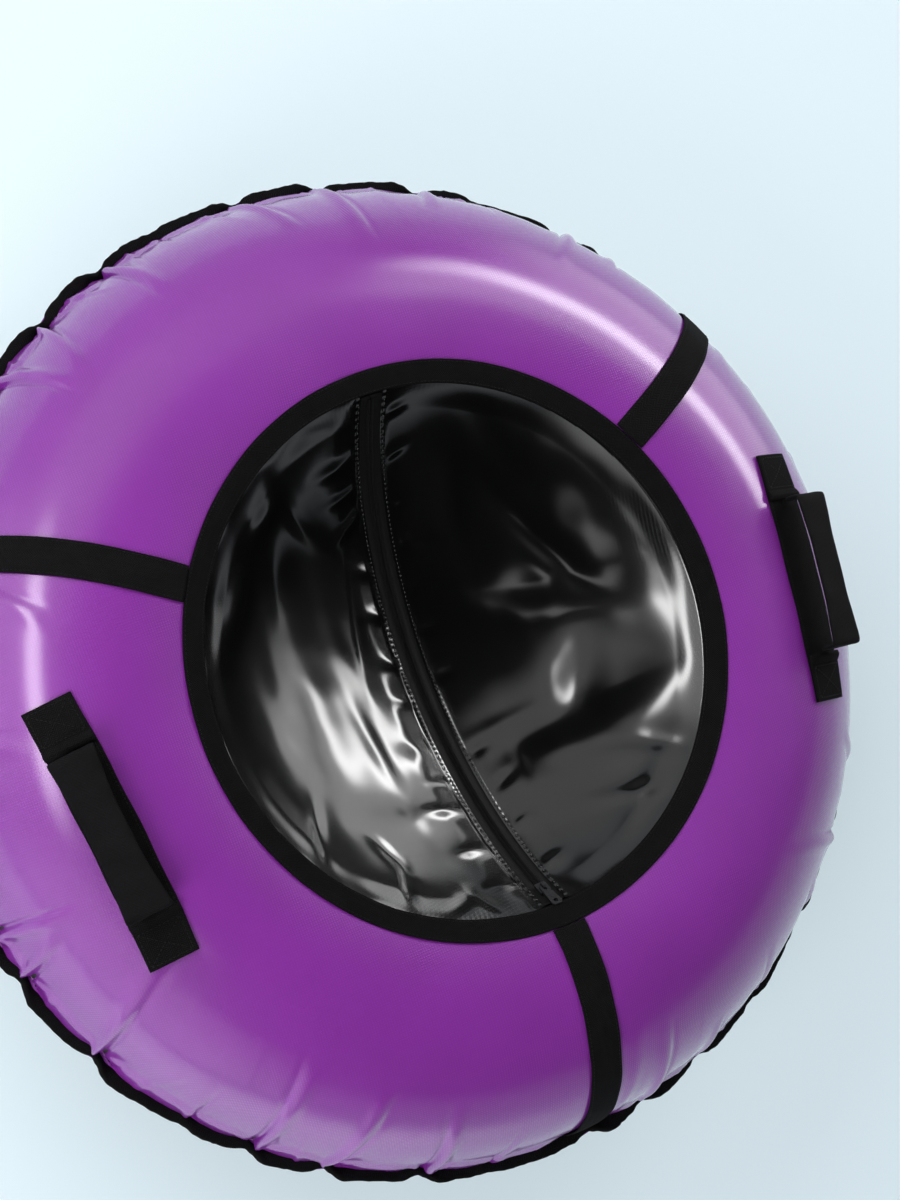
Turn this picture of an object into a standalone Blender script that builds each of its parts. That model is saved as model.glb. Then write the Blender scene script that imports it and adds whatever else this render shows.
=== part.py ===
"""Snow tube: an inflated rubber ring in a sewn cover with a sunken zipped seat, three straps and two handles.

All sizes are in metres, +Z is up and the origin is on the floor at the middle of the tube.
The seat's zip runs along Y, and the handles stand at the -X and +X sides.
"""
import bmesh
import bpy
from math import acos, asin, atan2, cos, degrees, hypot, pi, radians, sin, sqrt
from mathutils import Matrix, Vector

# The whole tube
OVERALL_DIAMETER = 1.000        # over the rim binding
TUBE_RADIUS = 0.1667            # round section, over the cover
RIM_REACH = 0.0128              # binding's edge beyond the cover's widest circle
SEAM_RISE = 0.0140              # rim seam above the middle plane of the section
FIT = 0.0004                    # space left between pieces that are sewn or pressed together

# Cover
COVER_THICK = 0.0010
BOTTOM_THICK = 0.0012
BINDING_THICK = 0.0012
BINDING_WIDTH = 0.0122
GATHER_DEPTH = 0.0058
SEAM_WAVE = 0.0012
GATHER_RISE = 0.023             # along the cover from the seam to the fullest part of a gather
GATHER_FADE = 0.135             # along the cover from the seam to where the gathers end
ROUND = 108                     # facets round the cover
GATHERS = 36

# Seat ring and seat
RING_ARC = 0.0233               # width of the ring tape along the section
RING_INSET = 0.0417             # outer edge of the ring tape inside the circle that the section turns on
RING_THICK = 0.0014
SEAT_SAG = 0.1305
SEAT_THICK = 0.0010
SEAT_FOLD = 0.0042
SEAT_FOLDS = 14
SEAT_ROUND = 54
HEM_WIDTH = 0.0095
HEM_RAISE = 0.0009
SEAT_SHARES = (0.28, 0.56, 0.82, 1.0)
SEAT_FOLD_SHARES = (0.45, 1.0, 0.8, 0.0)

# Straps over the crest
STRAP_WIDTH = 0.035
STRAP_THICK = 0.0016
STRAP_AZIMUTHS = {"right": 30, "left": 150, "front": 270}

# Handles
HANDLE_AZIMUTHS = {"right": -7.2, "left": 187.2}
HANDLE_OUTSET = 0.0625          # centre line of the webbing outside that circle, seen from above
BASE_LENGTH = 0.255
BASE_WIDTH = 0.050
BASE_THICK = 0.0018
TAB_LENGTH = 0.0475
TAB_WIDTH = 0.049
TAB_THICK = 0.0016
LIP_THICK = 0.0058              # rolled end of the tab, where the grip springs from it
LIP_LENGTH = 0.0055
LIP_SLOPE = 0.0040
GRIP_RISE = 0.0325              # top of the grip's core above the cover
GRIP_END_HALF = 0.0225
GRIP_MID_HALF = 0.0185
FOOT_HALF = 0.0050
CORE_THICK = 0.0016
CORE_MARGIN = 0.0016
SLEEVE_WALL = 0.0009
SLEEVE_SLIT = 0.0050
PIVOT_RISE = 0.0040             # grip's swing axis above the cover

# Zip
ZIP_OPENING = 0.0230            # between the two hems
TAPE_IN = 0.0010
TAPE_OUT = 0.0165
TAPE_THICK = 0.0008
COIL_WIDTH = 0.0031
COIL_HEIGHT = 0.0020
ZIP_ROUND = 30
SLIDER_LENGTH = 0.0135
SLIDER_WIDTH = 0.0118
SLIDER_PLATE = 0.0013
SLIDER_BLADE = 0.0009
SLIDER_LIP = 0.0009
SLIDER_CLEAR = 0.00045
BAIL_LENGTH = 0.0072
BAIL_WINDOW = 0.0022
BAIL_THICK = 0.0010
BAIL_WIDTH = 0.0016
PULL_LENGTH = 0.0290
PULL_NECK = 0.0080
PULL_WIDE = 0.0110
PULL_THICK = 0.0012
PULL_BAR = 0.0012
PULL_SLOT = 0.0034
PARK_INSET = 0.02435            # along the zip from the seat ring to the parked slider

# Inflatable ring and its valve
RUBBER_THICK = 0.0016
SEAT_CLEAR = 0.0056             # from the seat to the flank that the seat presses flat
TUBE_ROUND = 36
VALVE_HOLE = 0.0022
VALVE_AZIMUTH = 90
STEM_FOOT = 0.0085
STEM_FOOT_THICK = 0.0014
STEM_RADIUS = 0.0052
STEM_TOP_RADIUS = 0.0041
STEM_LENGTH = 0.0270
STEM_BORE = 0.0019
TIP_RADIUS = 0.0031
TIP_LENGTH = 0.0100
CORE_RADIUS = 0.0011
CORE_LENGTH = 0.0120
CAP_WALL = 0.0012
CAP_LENGTH = 0.0115

# Lengths that follow from those above
ROOT_RADIUS = OVERALL_DIAMETER / 2 - RIM_REACH
RING_RADIUS = ROOT_RADIUS - TUBE_RADIUS
MIDDLE = TUBE_RADIUS
TIP_OF_FLANGE = OVERALL_DIAMETER / 2 - BINDING_THICK - FIT
HANDLE_DISTANCE = RING_RADIUS + HANDLE_OUTSET
RING_START = acos(-RING_INSET / TUBE_RADIUS)
RING_END = RING_START + RING_ARC / TUBE_RADIUS
RING_MID = (RING_START + RING_END) / 2
RING_SPLIT = FIT / TUBE_RADIUS
SEAT_EDGE = RING_RADIUS + TUBE_RADIUS * cos(RING_END)
SEAT_RADIUS = (SEAT_EDGE ** 2 + SEAT_SAG ** 2) / (2 * SEAT_SAG)
SEAT_CENTRE = MIDDLE + TUBE_RADIUS * sin(RING_END) - SEAT_SAG + SEAT_RADIUS
PARK = PARK_INSET / SEAT_RADIUS - asin(SEAT_EDGE / SEAT_RADIUS)
TAPE_DROP = SEAT_THICK + FIT * 1.5
COIL_DROP = TAPE_DROP - FIT
PLATE_LIFT = COIL_HEIGHT - COIL_DROP + SLIDER_CLEAR
PIVOT_LIFT = PLATE_LIFT + SLIDER_PLATE + BAIL_WINDOW / 2


def clear_scene():
    for thing in list(bpy.data.objects):
        bpy.data.objects.remove(thing, do_unlink=True)


def material(name, colour, roughness, metallic=0.0):
    """A plain surface for one kind of stuff."""
    found = bpy.data.materials.get(name)
    if found:
        return found
    stuff = bpy.data.materials.new(name)
    stuff.use_nodes = True
    shader = stuff.node_tree.nodes["Principled BSDF"]
    shader.inputs["Base Color"].default_value = (*colour, 1.0)
    shader.inputs["Roughness"].default_value = roughness
    shader.inputs["Metallic"].default_value = metallic
    stuff.diffuse_color = (*colour, 1.0)
    return stuff


PURPLE = ("coated cloth, purple", (0.29, 0.075, 0.38), 0.36)
BLACK_SHEET = ("coated cloth, black", (0.012, 0.012, 0.013), 0.20)
BOTTOM_SHEET = ("slick bottom cloth", (0.015, 0.015, 0.016), 0.30)
WEBBING = ("webbing", (0.016, 0.016, 0.017), 0.85)
TWILL = ("binding tape", (0.018, 0.018, 0.019), 0.90)
SLEEVE_CLOTH = ("grip cloth", (0.022, 0.022, 0.024), 0.75)
NYLON = ("zip nylon", (0.010, 0.010, 0.011), 0.45)
GUNMETAL = ("dark metal", (0.10, 0.10, 0.105), 0.35, 0.9)
RUBBER = ("inner rubber", (0.03, 0.03, 0.03), 0.70)
BRASS = ("valve brass", (0.62, 0.45, 0.18), 0.30, 1.0)
CAP_PLASTIC = ("cap plastic", (0.02, 0.02, 0.02), 0.50)


def finish(name, bm, look):
    """Turns a finished shape into the object of that name, its origin at the tube's own."""
    bmesh.ops.recalc_face_normals(bm, faces=bm.faces)
    mesh = bpy.data.meshes.new(name)
    bm.to_mesh(mesh)
    bm.free()
    mesh.materials.append(material(*look))
    thing = bpy.data.objects.new(name, mesh)
    bpy.context.collection.objects.link(thing)
    mesh.shade_smooth()
    mesh.set_sharp_from_angle(angle=radians(34))
    return thing


def on_axis(thing, pivot):
    """Moves an object's origin to its joint and leaves the shape where it is."""
    thing.data.transform(Matrix.Translation(-Vector(pivot)))
    thing.location = pivot
    return thing


def spun(name, section, steps, look, move=None):
    """A closed section of (radius, height) points turned round Z, then moved point by point."""
    bm = bmesh.new()
    corners = [bm.verts.new((r, 0, z)) for r, z in section]
    on_pole = abs(section[0][0]) < FIT and abs(section[-1][0]) < FIT
    pairs = zip(corners, corners[1:] if on_pole else corners[1:] + corners[:1])
    edges = [bm.edges.new(pair) for pair in pairs]
    bmesh.ops.spin(bm, geom=corners + edges, cent=(0, 0, 0), axis=(0, 0, 1), angle=2 * pi,
                   steps=steps, use_merge=True)
    bmesh.ops.remove_doubles(bm, verts=bm.verts, dist=FIT / 8)
    if move:
        for v in bm.verts:
            v.co = move(v.co)
        bmesh.ops.triangulate(bm, faces=bm.faces, quad_method="SHORT_EDGE")
    elif on_pole:
        # Each flat end becomes one face, with no corner on the axis.
        bmesh.ops.dissolve_verts(bm, verts=[v for v in bm.verts if hypot(v.co.x, v.co.y) < FIT / 8])
    return finish(name, bm, look)


def slab(name, upper, lower, look):
    """A sheet between two grids of points that have the same rows and columns."""
    bm = bmesh.new()
    up, low = ([[bm.verts.new(p) for p in row] for row in grid] for grid in (upper, lower))
    last_row, last = len(up) - 1, len(up[0]) - 1
    for grid in (up, low):
        for a, b in zip(grid, grid[1:]):
            for i in range(last):
                bm.faces.new((a[i], a[i + 1], b[i + 1], b[i]))
    for j in (0, last_row):
        for i in range(last):
            bm.faces.new((up[j][i], up[j][i + 1], low[j][i + 1], low[j][i]))
    for i in (0, last):
        for j in range(last_row):
            bm.faces.new((up[j][i], up[j + 1][i], low[j + 1][i], low[j][i]))
    return finish(name, bm, look)


def lofted(name, rings, look):
    """A bar through rings of points, closed at both ends."""
    bm = bmesh.new()
    loops = [[bm.verts.new(p) for p in ring] for ring in rings]
    count = len(loops[0])
    for a, b in zip(loops, loops[1:]):
        for i in range(count):
            bm.faces.new((a[i], a[(i + 1) % count], b[(i + 1) % count], b[i]))
    bm.faces.new(loops[0])
    bm.faces.new(loops[-1])
    return finish(name, bm, look)


def joined(thing, other, operation):
    """Adds the other object's shape to this one, or cuts it out of this one."""
    tool = thing.modifiers.new(operation.lower(), "BOOLEAN")
    tool.object = other
    tool.operation = operation
    tool.solver = "EXACT"
    bpy.context.view_layer.update()
    graph = bpy.context.evaluated_depsgraph_get()
    mesh = bpy.data.meshes.new_from_object(thing.evaluated_get(graph))
    thing.modifiers.remove(tool)
    thing.data = mesh
    bpy.data.objects.remove(other, do_unlink=True)
    mesh.shade_smooth()
    mesh.set_sharp_from_angle(angle=radians(34))
    return thing


def around(radius, azimuth, height):
    return Vector((radius * cos(azimuth), radius * sin(azimuth), height))


def section_point(angle, offset=0.0):
    """Radius and height of the point at an angle of the tube's section, off the cover's surface."""
    reach = TUBE_RADIUS + offset
    return RING_RADIUS + reach * cos(angle), MIDDLE + reach * sin(angle)


def seam_angle(height, offset=0.0):
    """The angle at which the section is at a height above the middle plane."""
    return asin(height / (TUBE_RADIUS + offset))


def off_strap(azimuth):
    """0 under a strap and 1 clear of it."""
    nearest = min(abs((degrees(azimuth) - a + 180) % 360 - 180) for a in STRAP_AZIMUTHS.values())
    step = 360 / ROUND
    return min(1.0, max(0.0, (nearest - 1.02 * step) / (0.9 * step)))


def gathered(point):
    """Puffs the cover out between the tucks of the rim seam, and lets the seam itself wave."""
    azimuth = atan2(point.y, point.x)
    radius = hypot(point.x, point.y)
    turn = azimuth / (2 * pi) * GATHERS
    puff = abs(sin(pi * turn)) ** 0.6 * (0.86 + 0.14 * sin(5 * azimuth)) * off_strap(azimuth)
    across, up = radius - RING_RADIUS, point.z - MIDDLE
    angle = atan2(up, across)
    along = abs(angle - seam_angle(SEAM_RISE)) * TUBE_RADIUS - 2 * BOTTOM_THICK
    if radius > ROOT_RADIUS:
        share = (radius - ROOT_RADIUS) / (TIP_OF_FLANGE - ROOT_RADIUS)
        return point + Vector((0, 0, SEAM_WAVE * cos(2 * pi * turn) * share))
    if across < 0 or not 0 < along < GATHER_FADE:
        return point
    full = along / GATHER_RISE if along < GATHER_RISE else (
        0.5 + 0.5 * cos(pi * (along - GATHER_RISE) / (GATHER_FADE - GATHER_RISE)))
    push = GATHER_DEPTH * puff * min(1.0, full)
    reach = hypot(across, up)
    return around(radius + push * across / reach, azimuth, point.z + push * up / reach)


def top_angles():
    """Angles of the section at which the top panel bends, from the rim seam to the seat ring."""
    first = seam_angle(SEAM_RISE + FIT / 2 + COVER_THICK)
    shares = (0.0, 0.09, 0.20, 0.32, 0.44, 0.56, 0.68, 0.80, 0.91, 1.0)
    return [first + (RING_START - first) * s for s in shares]


def bottom_angles():
    """Angles at which the bottom panel bends, from the rim seam to where it lies on the floor."""
    first = seam_angle(SEAM_RISE - FIT / 2 - BOTTOM_THICK)
    shares = (0.0, 0.13, 0.32, 0.54, 0.77, 1.0)
    return [first + (-pi / 2 - first) * s for s in shares]


def make_cover():
    """The two outer panels of the cover, the binding round their seam and the seat's ring tape."""
    half = FIT / 2
    low, high = SEAM_RISE + half, SEAM_RISE + half + COVER_THICK
    angles = top_angles() + [RING_MID - RING_SPLIT]
    inner = [seam_angle(low, -COVER_THICK)] + angles[1:]
    section = [(TIP_OF_FLANGE, MIDDLE + high)] + [section_point(a) for a in angles]
    section += [section_point(a, -COVER_THICK) for a in reversed(inner)]
    section += [(TIP_OF_FLANGE, MIDDLE + low)]
    spun("top_cover_panel", section, ROUND, PURPLE, gathered)

    high, low = SEAM_RISE - half, SEAM_RISE - half - BOTTOM_THICK
    angles = bottom_angles()
    inner = [seam_angle(high, -BOTTOM_THICK)] + angles[1:]
    floor = MIDDLE - TUBE_RADIUS
    section = [(0, floor)] + [section_point(a) for a in reversed(angles)]
    section += [(TIP_OF_FLANGE, MIDDLE + low), (TIP_OF_FLANGE, MIDDLE + high)]
    section += [section_point(a, -BOTTOM_THICK) for a in inner] + [(0, floor + BOTTOM_THICK)]
    spun("bottom_cover_panel", section, ROUND, BOTTOM_SHEET, gathered)

    edge, back = OVERALL_DIAMETER / 2, TIP_OF_FLANGE + FIT
    front = edge - BINDING_WIDTH
    top = MIDDLE + SEAM_RISE + half + COVER_THICK + FIT
    base = MIDDLE + SEAM_RISE - half - BOTTOM_THICK - FIT
    round_off = BINDING_THICK / 2
    section = [(front, top), (back, top), (back, base), (front, base),
               (front, base - BINDING_THICK), (edge, base - round_off), (edge, top + round_off),
               (front, top + BINDING_THICK)]
    spun("rim_binding", section, ROUND, TWILL, gathered)

    angles = (RING_START, RING_MID, RING_END)
    section = [section_point(a, FIT) for a in angles]
    section += [section_point(a, FIT + RING_THICK) for a in reversed(angles)]
    spun("seat_ring_tape", section, SEAT_ROUND, TWILL)


def bowl(x, y, drop):
    """The point of the seat's bowl above a place of the plan, or that far below its upper face."""
    return Vector((x, y, SEAT_CENTRE - sqrt((SEAT_RADIUS + drop) ** 2 - x * x - y * y)))


def seat_rows(side, drop):
    """Rows of one half of the seat, each from the zip's hem straight out to the ring."""
    rows = []
    for step in range(-SEAT_ROUND // 4 + 1, SEAT_ROUND // 4 + 1):
        azimuth = 2 * pi * step / SEAT_ROUND
        y, rim, start = SEAT_EDGE * sin(azimuth), SEAT_EDGE * cos(azimuth), ZIP_OPENING / 2
        hem = min(HEM_WIDTH, 0.45 * (rim - start))
        raised = 0 if drop else HEM_RAISE * min(1.0, (rim - start) / HEM_WIDTH / 6)
        row = [bowl(side * start, y, drop - raised), bowl(side * (start + hem), y, drop - raised),
               bowl(side * (start + 1.12 * hem), y, drop)]
        begin = start + 1.12 * hem
        for share, fold in zip(SEAT_SHARES, SEAT_FOLD_SHARES):
            x = begin + (rim - begin) * share
            wave = 0.5 + 0.5 * sin(SEAT_FOLDS * azimuth + 1)
            lift = SEAT_FOLD * wave * fold * min(1.0, (SEAT_EDGE - hypot(x, y)) / RING_ARC)
            row.append(bowl(side * x, y, drop - lift))
        radius, height = section_point(RING_MID + RING_SPLIT, -drop)
        row.append(Vector((side * radius * cos(azimuth), radius * sin(azimuth), height)))
        rows.append(row)
    return rows


def make_seat():
    """Two black panels that meet along the zip and hang into the ring."""
    for name, side in (("right", 1), ("left", -1)):
        slab(f"seat_panel_{name}", seat_rows(side, 0), seat_rows(side, SEAT_THICK), BLACK_SHEET)


def strap_rows(azimuth, offset):
    """Points of a strap from the seat ring down to the rim, following the cover's facets."""
    first = seam_angle(SEAM_RISE + FIT * 2.5 + COVER_THICK + BINDING_THICK + SEAM_WAVE)
    last = RING_START - 1.5 * RING_SPLIT
    shares = (0.0, 0.065, 0.18, 0.30, 0.43, 0.55, 0.67, 0.79, 0.905, 1.0)
    rows = []
    for share in shares:
        radius, height = section_point(first + (last - first) * share, offset)
        rows.append([around(radius, azimuth, height) + side * STRAP_WIDTH / 2 * Vector(
            (-sin(azimuth), cos(azimuth), 0)) for side in (-1, -0.5, 0, 0.5, 1)])
    return rows


def make_straps():
    for name, azimuth in STRAP_AZIMUTHS.items():
        turn = radians(azimuth)
        upper, lower = strap_rows(turn, 2 * FIT + STRAP_THICK), strap_rows(turn, 2 * FIT)
        slab(f"strap_{name}", upper, lower, WEBBING)


def on_cover(azimuth, along, across, offset):
    """A point over the cover near a handle: along its chord, across it and off the surface."""
    start = acos((hypot(HANDLE_DISTANCE, along) - RING_RADIUS) / TUBE_RADIUS)
    out = HANDLE_DISTANCE + TUBE_RADIUS * (cos(start - across / TUBE_RADIUS) - cos(start))
    angle = acos((hypot(out, along) - RING_RADIUS) / TUBE_RADIUS)
    radius, height = section_point(angle, offset)
    return around(radius, azimuth + atan2(along, out), height)


def strip(name, azimuth, stations, widths, look):
    """Webbing on the cover: stations are (place along the chord, underside, top)."""
    upper = [[on_cover(azimuth, s, w, top) for w in widths] for s, _, top in stations]
    lower = [[on_cover(azimuth, s, w, under) for w in widths] for s, under, _ in stations]
    return slab(name, upper, lower, look)


def grip_path(azimuth, stations):
    """Stations of (along, rise, half width) turned into frames: point, side, outward normal."""
    middle = on_cover(azimuth, 0, 0, 0)
    tilt = acos((HANDLE_DISTANCE - RING_RADIUS) / TUBE_RADIUS)
    along = Vector((-sin(azimuth), cos(azimuth), 0))
    up = around(cos(tilt), azimuth, sin(tilt))
    side = around(sin(tilt), azimuth, -cos(tilt))
    points = [middle + along * s + up * h for s, h, _ in stations]
    frames = []
    for i, (s, h, half) in enumerate(stations):
        a, b = points[max(0, i - 1)], points[min(len(points) - 1, i + 1)]
        heading = (b - a).normalized()
        if i in (0, len(points) - 1):
            heading = up if i == 0 else -up
        frames.append((points[i], side, heading.cross(side).normalized(), half))
    return frames


def make_handle(name, azimuth_degrees):
    """Webbing sewn to the cover, its two tabs, and the grip: a padding strip in a folded sleeve."""
    azimuth = radians(azimuth_degrees)
    base_low, base_top = 2 * FIT, 2 * FIT + BASE_THICK
    columns = [BASE_WIDTH * (i / 4 - 0.5) for i in range(5)]
    stations = [(BASE_LENGTH * (i / 12 - 0.5), base_low, base_top) for i in range(13)]
    strip(f"handle_{name}_base", azimuth, stations, columns, WEBBING)

    low = base_top + FIT
    thin, thick = low + TAB_THICK, low + LIP_THICK
    outer = BASE_LENGTH / 2 - FIT
    inner = outer - TAB_LENGTH
    columns = [TAB_WIDTH * (i / 4 - 0.5) for i in range(5)]
    places = ((inner, thick), (inner + LIP_LENGTH, thick), (inner + LIP_LENGTH + LIP_SLOPE, thin),
              ((inner + outer) / 2, thin), (outer, thin))
    for way in (1, -1):
        word = "rear" if way * cos(azimuth) > 0 else "front"
        stations = [(way * s, low, top) for s, top in places]
        strip(f"handle_{name}_tab_{word}", azimuth, stations, columns, WEBBING)

    half_sleeve = CORE_THICK / 2 + FIT + SLEEVE_WALL
    foot = inner - FIT - CORE_THICK / 2
    leg = inner - FIT - half_sleeve
    top, low_foot = GRIP_RISE, PIVOT_RISE - CORE_THICK / 2
    half = [(foot, low_foot, FOOT_HALF), (leg, top * 0.30, GRIP_END_HALF * 0.55),
            (leg, top * 0.52, GRIP_END_HALF * 0.92), (leg, top * 0.84, GRIP_END_HALF),
            (leg * 0.97, top * 0.975, GRIP_END_HALF), (leg * 0.78, top, GRIP_END_HALF * 0.94),
            (leg * 0.40, top * 1.015, GRIP_MID_HALF), (0, top * 1.02, GRIP_MID_HALF)]
    path = half + [(-s, h, w) for s, h, w in reversed(half[:-1])]
    rings = []
    for point, side, out, width in grip_path(azimuth, path):
        w, t = width - (CORE_MARGIN if width > 2 * FOOT_HALF else 0), CORE_THICK / 2
        rings.append([point + side * a * w + out * b * t for a, b in ((1, 1), (1, -1), (-1, -1), (-1, 1))])
    pivot = on_cover(azimuth, 0, 0, PIVOT_RISE)
    on_axis(lofted(f"handle_{name}_grip_core", rings, WEBBING), pivot)

    rings = []
    for point, side, out, width in grip_path(azimuth, path)[1:-1]:
        w, t, slit = width, half_sleeve, SLEEVE_SLIT / 2
        shape = ((-slit, -t), (-w + t / 2, -t), (-w, -t / 2), (-w, t / 2), (-w + t / 2, t),
                 (w - t / 2, t), (w, t / 2), (w, -t / 2), (w - t / 2, -t), (slit, -t))
        inside = w - SLEEVE_WALL
        t -= SLEEVE_WALL
        shape += ((slit, -t), (inside, -t), (inside, t), (-inside, t), (-inside, -t), (-slit, -t))
        rings.append([point + side * a + out * b for a, b in shape])
    on_axis(lofted(f"handle_{name}_grip_sleeve", rings, SLEEVE_CLOTH), pivot)


def zip_point(x, angle, drop):
    """A point of the zip: its distance from the middle, its angle along the arc and its depth."""
    reach = sqrt((SEAT_RADIUS + drop) ** 2 - x * x)
    return Vector((x, reach * sin(angle), SEAT_CENTRE - reach * cos(angle)))


def make_zip():
    """Two tapes with their coils, the slider and its pull."""
    end = asin(SEAT_EDGE / SEAT_RADIUS) * 0.985
    turns = [end * (2 * i / ZIP_ROUND - 1) for i in range(ZIP_ROUND + 1)]
    for name, side in (("right", 1), ("left", -1)):
        columns = (TAPE_IN, ZIP_OPENING / 2, TAPE_OUT)
        upper, lower = ([[zip_point(side * x, t, drop) for x in columns] for t in turns]
                        for drop in (TAPE_DROP, TAPE_DROP + TAPE_THICK))
        slab(f"zip_tape_{name}", upper, lower, NYLON)
        near, far, top = TAPE_IN, TAPE_IN + COIL_WIDTH, COIL_DROP - COIL_HEIGHT
        shape = ((near, COIL_DROP), (far, COIL_DROP), (far, COIL_DROP - COIL_HEIGHT * 0.5),
                 (far - COIL_WIDTH * 0.25, top), (near + COIL_WIDTH * 0.2, top))
        rings = [[zip_point(side * x, t, d) for x, d in shape] for t in turns[:-1]]
        lofted(f"zip_coil_{name}", rings, NYLON)

    centre = (0, 0, SEAT_CENTRE)
    under = TAPE_DROP + TAPE_THICK + SLIDER_CLEAR
    half, blade = SLIDER_WIDTH / 2, SLIDER_BLADE / 2
    rings = []
    for share, narrow in ((-0.5, 0.72), (-0.36, 0.92), (0.0, 1.0), (0.36, 0.92), (0.5, 0.72)):
        turn = PARK + share * SLIDER_LENGTH / SEAT_RADIUS
        w = TAPE_IN + COIL_WIDTH + SLIDER_CLEAR + (half - TAPE_IN - COIL_WIDTH - SLIDER_CLEAR) * narrow
        lip = w - SLIDER_LIP * narrow
        side = ((w, -PLATE_LIFT - SLIDER_PLATE), (w, 0), (lip, 0), (lip, -PLATE_LIFT),
                (blade, -PLATE_LIFT), (blade, under), (w, under), (w, under + SLIDER_PLATE))
        shape = side + tuple((-x, d) for x, d in reversed(side))
        rings.append([zip_point(x, turn, d) for x, d in shape])
    slider = lofted("zip_slider", rings, GUNMETAL)
    bail_top = PLATE_LIFT + SLIDER_PLATE + BAIL_WINDOW + BAIL_THICK
    sunk = PLATE_LIFT + SLIDER_PLATE / 2
    out, inside = BAIL_LENGTH / 2, BAIL_LENGTH / 2 - BAIL_THICK
    arch = ((-out, sunk), (-out, bail_top - BAIL_THICK), (-inside, bail_top), (inside, bail_top),
            (out, bail_top - BAIL_THICK), (out, sunk), (inside, sunk), (inside, bail_top - BAIL_THICK),
            (-inside, bail_top - BAIL_THICK), (-inside, sunk))
    rings = [[zip_point(x, PARK + s / SEAT_RADIUS, -lift) for s, lift in arch]
             for x in (-BAIL_WIDTH / 2, BAIL_WIDTH / 2)]
    joined(slider, lofted("bail", rings, GUNMETAL), "UNION")
    on_axis(slider, centre)

    # The pull is drawn flat, from its bar outward, then laid along the zip at the slider's place.
    widths = ((0, PULL_NECK / 2), (0.30, PULL_NECK * 0.56), (0.62, PULL_WIDE * 0.45), (0.90, PULL_WIDE / 2),
              (1.0, PULL_WIDE * 0.36))
    start = -PULL_BAR / 2
    outline = [(w, start + s * PULL_LENGTH) for s, w in widths]
    outline += [(-x, y) for x, y in reversed(outline)]
    lift = PULL_THICK / 2
    pull = lofted("zip_pull", [[Vector((x, y, z)) for x, y in outline] for z in (-lift, lift)], GUNMETAL)
    slot_end = BAIL_LENGTH / 2 + PULL_BAR + FIT
    slot = [(PULL_SLOT / 2, PULL_BAR / 2), (PULL_SLOT / 2, slot_end), (PULL_SLOT * 0.2, slot_end * 1.35),
            (-PULL_SLOT * 0.2, slot_end * 1.35), (-PULL_SLOT / 2, slot_end), (-PULL_SLOT / 2, PULL_BAR / 2)]
    eye_place, eye = PULL_LENGTH * 0.80, PULL_WIDE * 0.22
    ring = [(eye * cos(2 * pi * i / 12), eye_place + eye * sin(2 * pi * i / 12)) for i in range(12)]
    for hole in (slot, ring):
        levels = [[Vector((x, y, z)) for x, y in hole] for z in (-PULL_THICK, PULL_THICK)]
        joined(pull, lofted("hole", levels, GUNMETAL), "DIFFERENCE")
    ahead = Vector((0, -cos(PARK), -sin(PARK)))
    inward = Vector((0, -sin(PARK), cos(PARK)))
    pull.data.transform(Matrix((-Vector((1, 0, 0)), ahead, inward)).transposed().to_4x4())
    pull.location = zip_point(0, PARK, -PIVOT_LIFT)


def tube_section(depth):
    """Points round the inflated ring's section, its flank pressed flat where the seat lies on it."""
    across, up = -RING_RADIUS, SEAT_CENTRE - MIDDLE
    facing, away = atan2(up, across), hypot(across, up)
    flat = away - SEAT_RADIUS - SEAT_THICK - SEAT_CLEAR
    full = TUBE_RADIUS - BOTTOM_THICK - 1.5 * FIT
    spread = acos(flat / full)
    angles = [seam_angle(SEAM_RISE)] + [a for a in top_angles()[2::2] if a < facing - spread]
    angles += [facing - spread, facing + spread, pi, pi * 7 / 6, pi * 4 / 3]
    angles += [2 * pi + a for a in reversed(bottom_angles()[1:])]
    reach = full - depth
    return [(RING_RADIUS + reach * cos(a), MIDDLE + reach * sin(a)) for a in angles]


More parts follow.
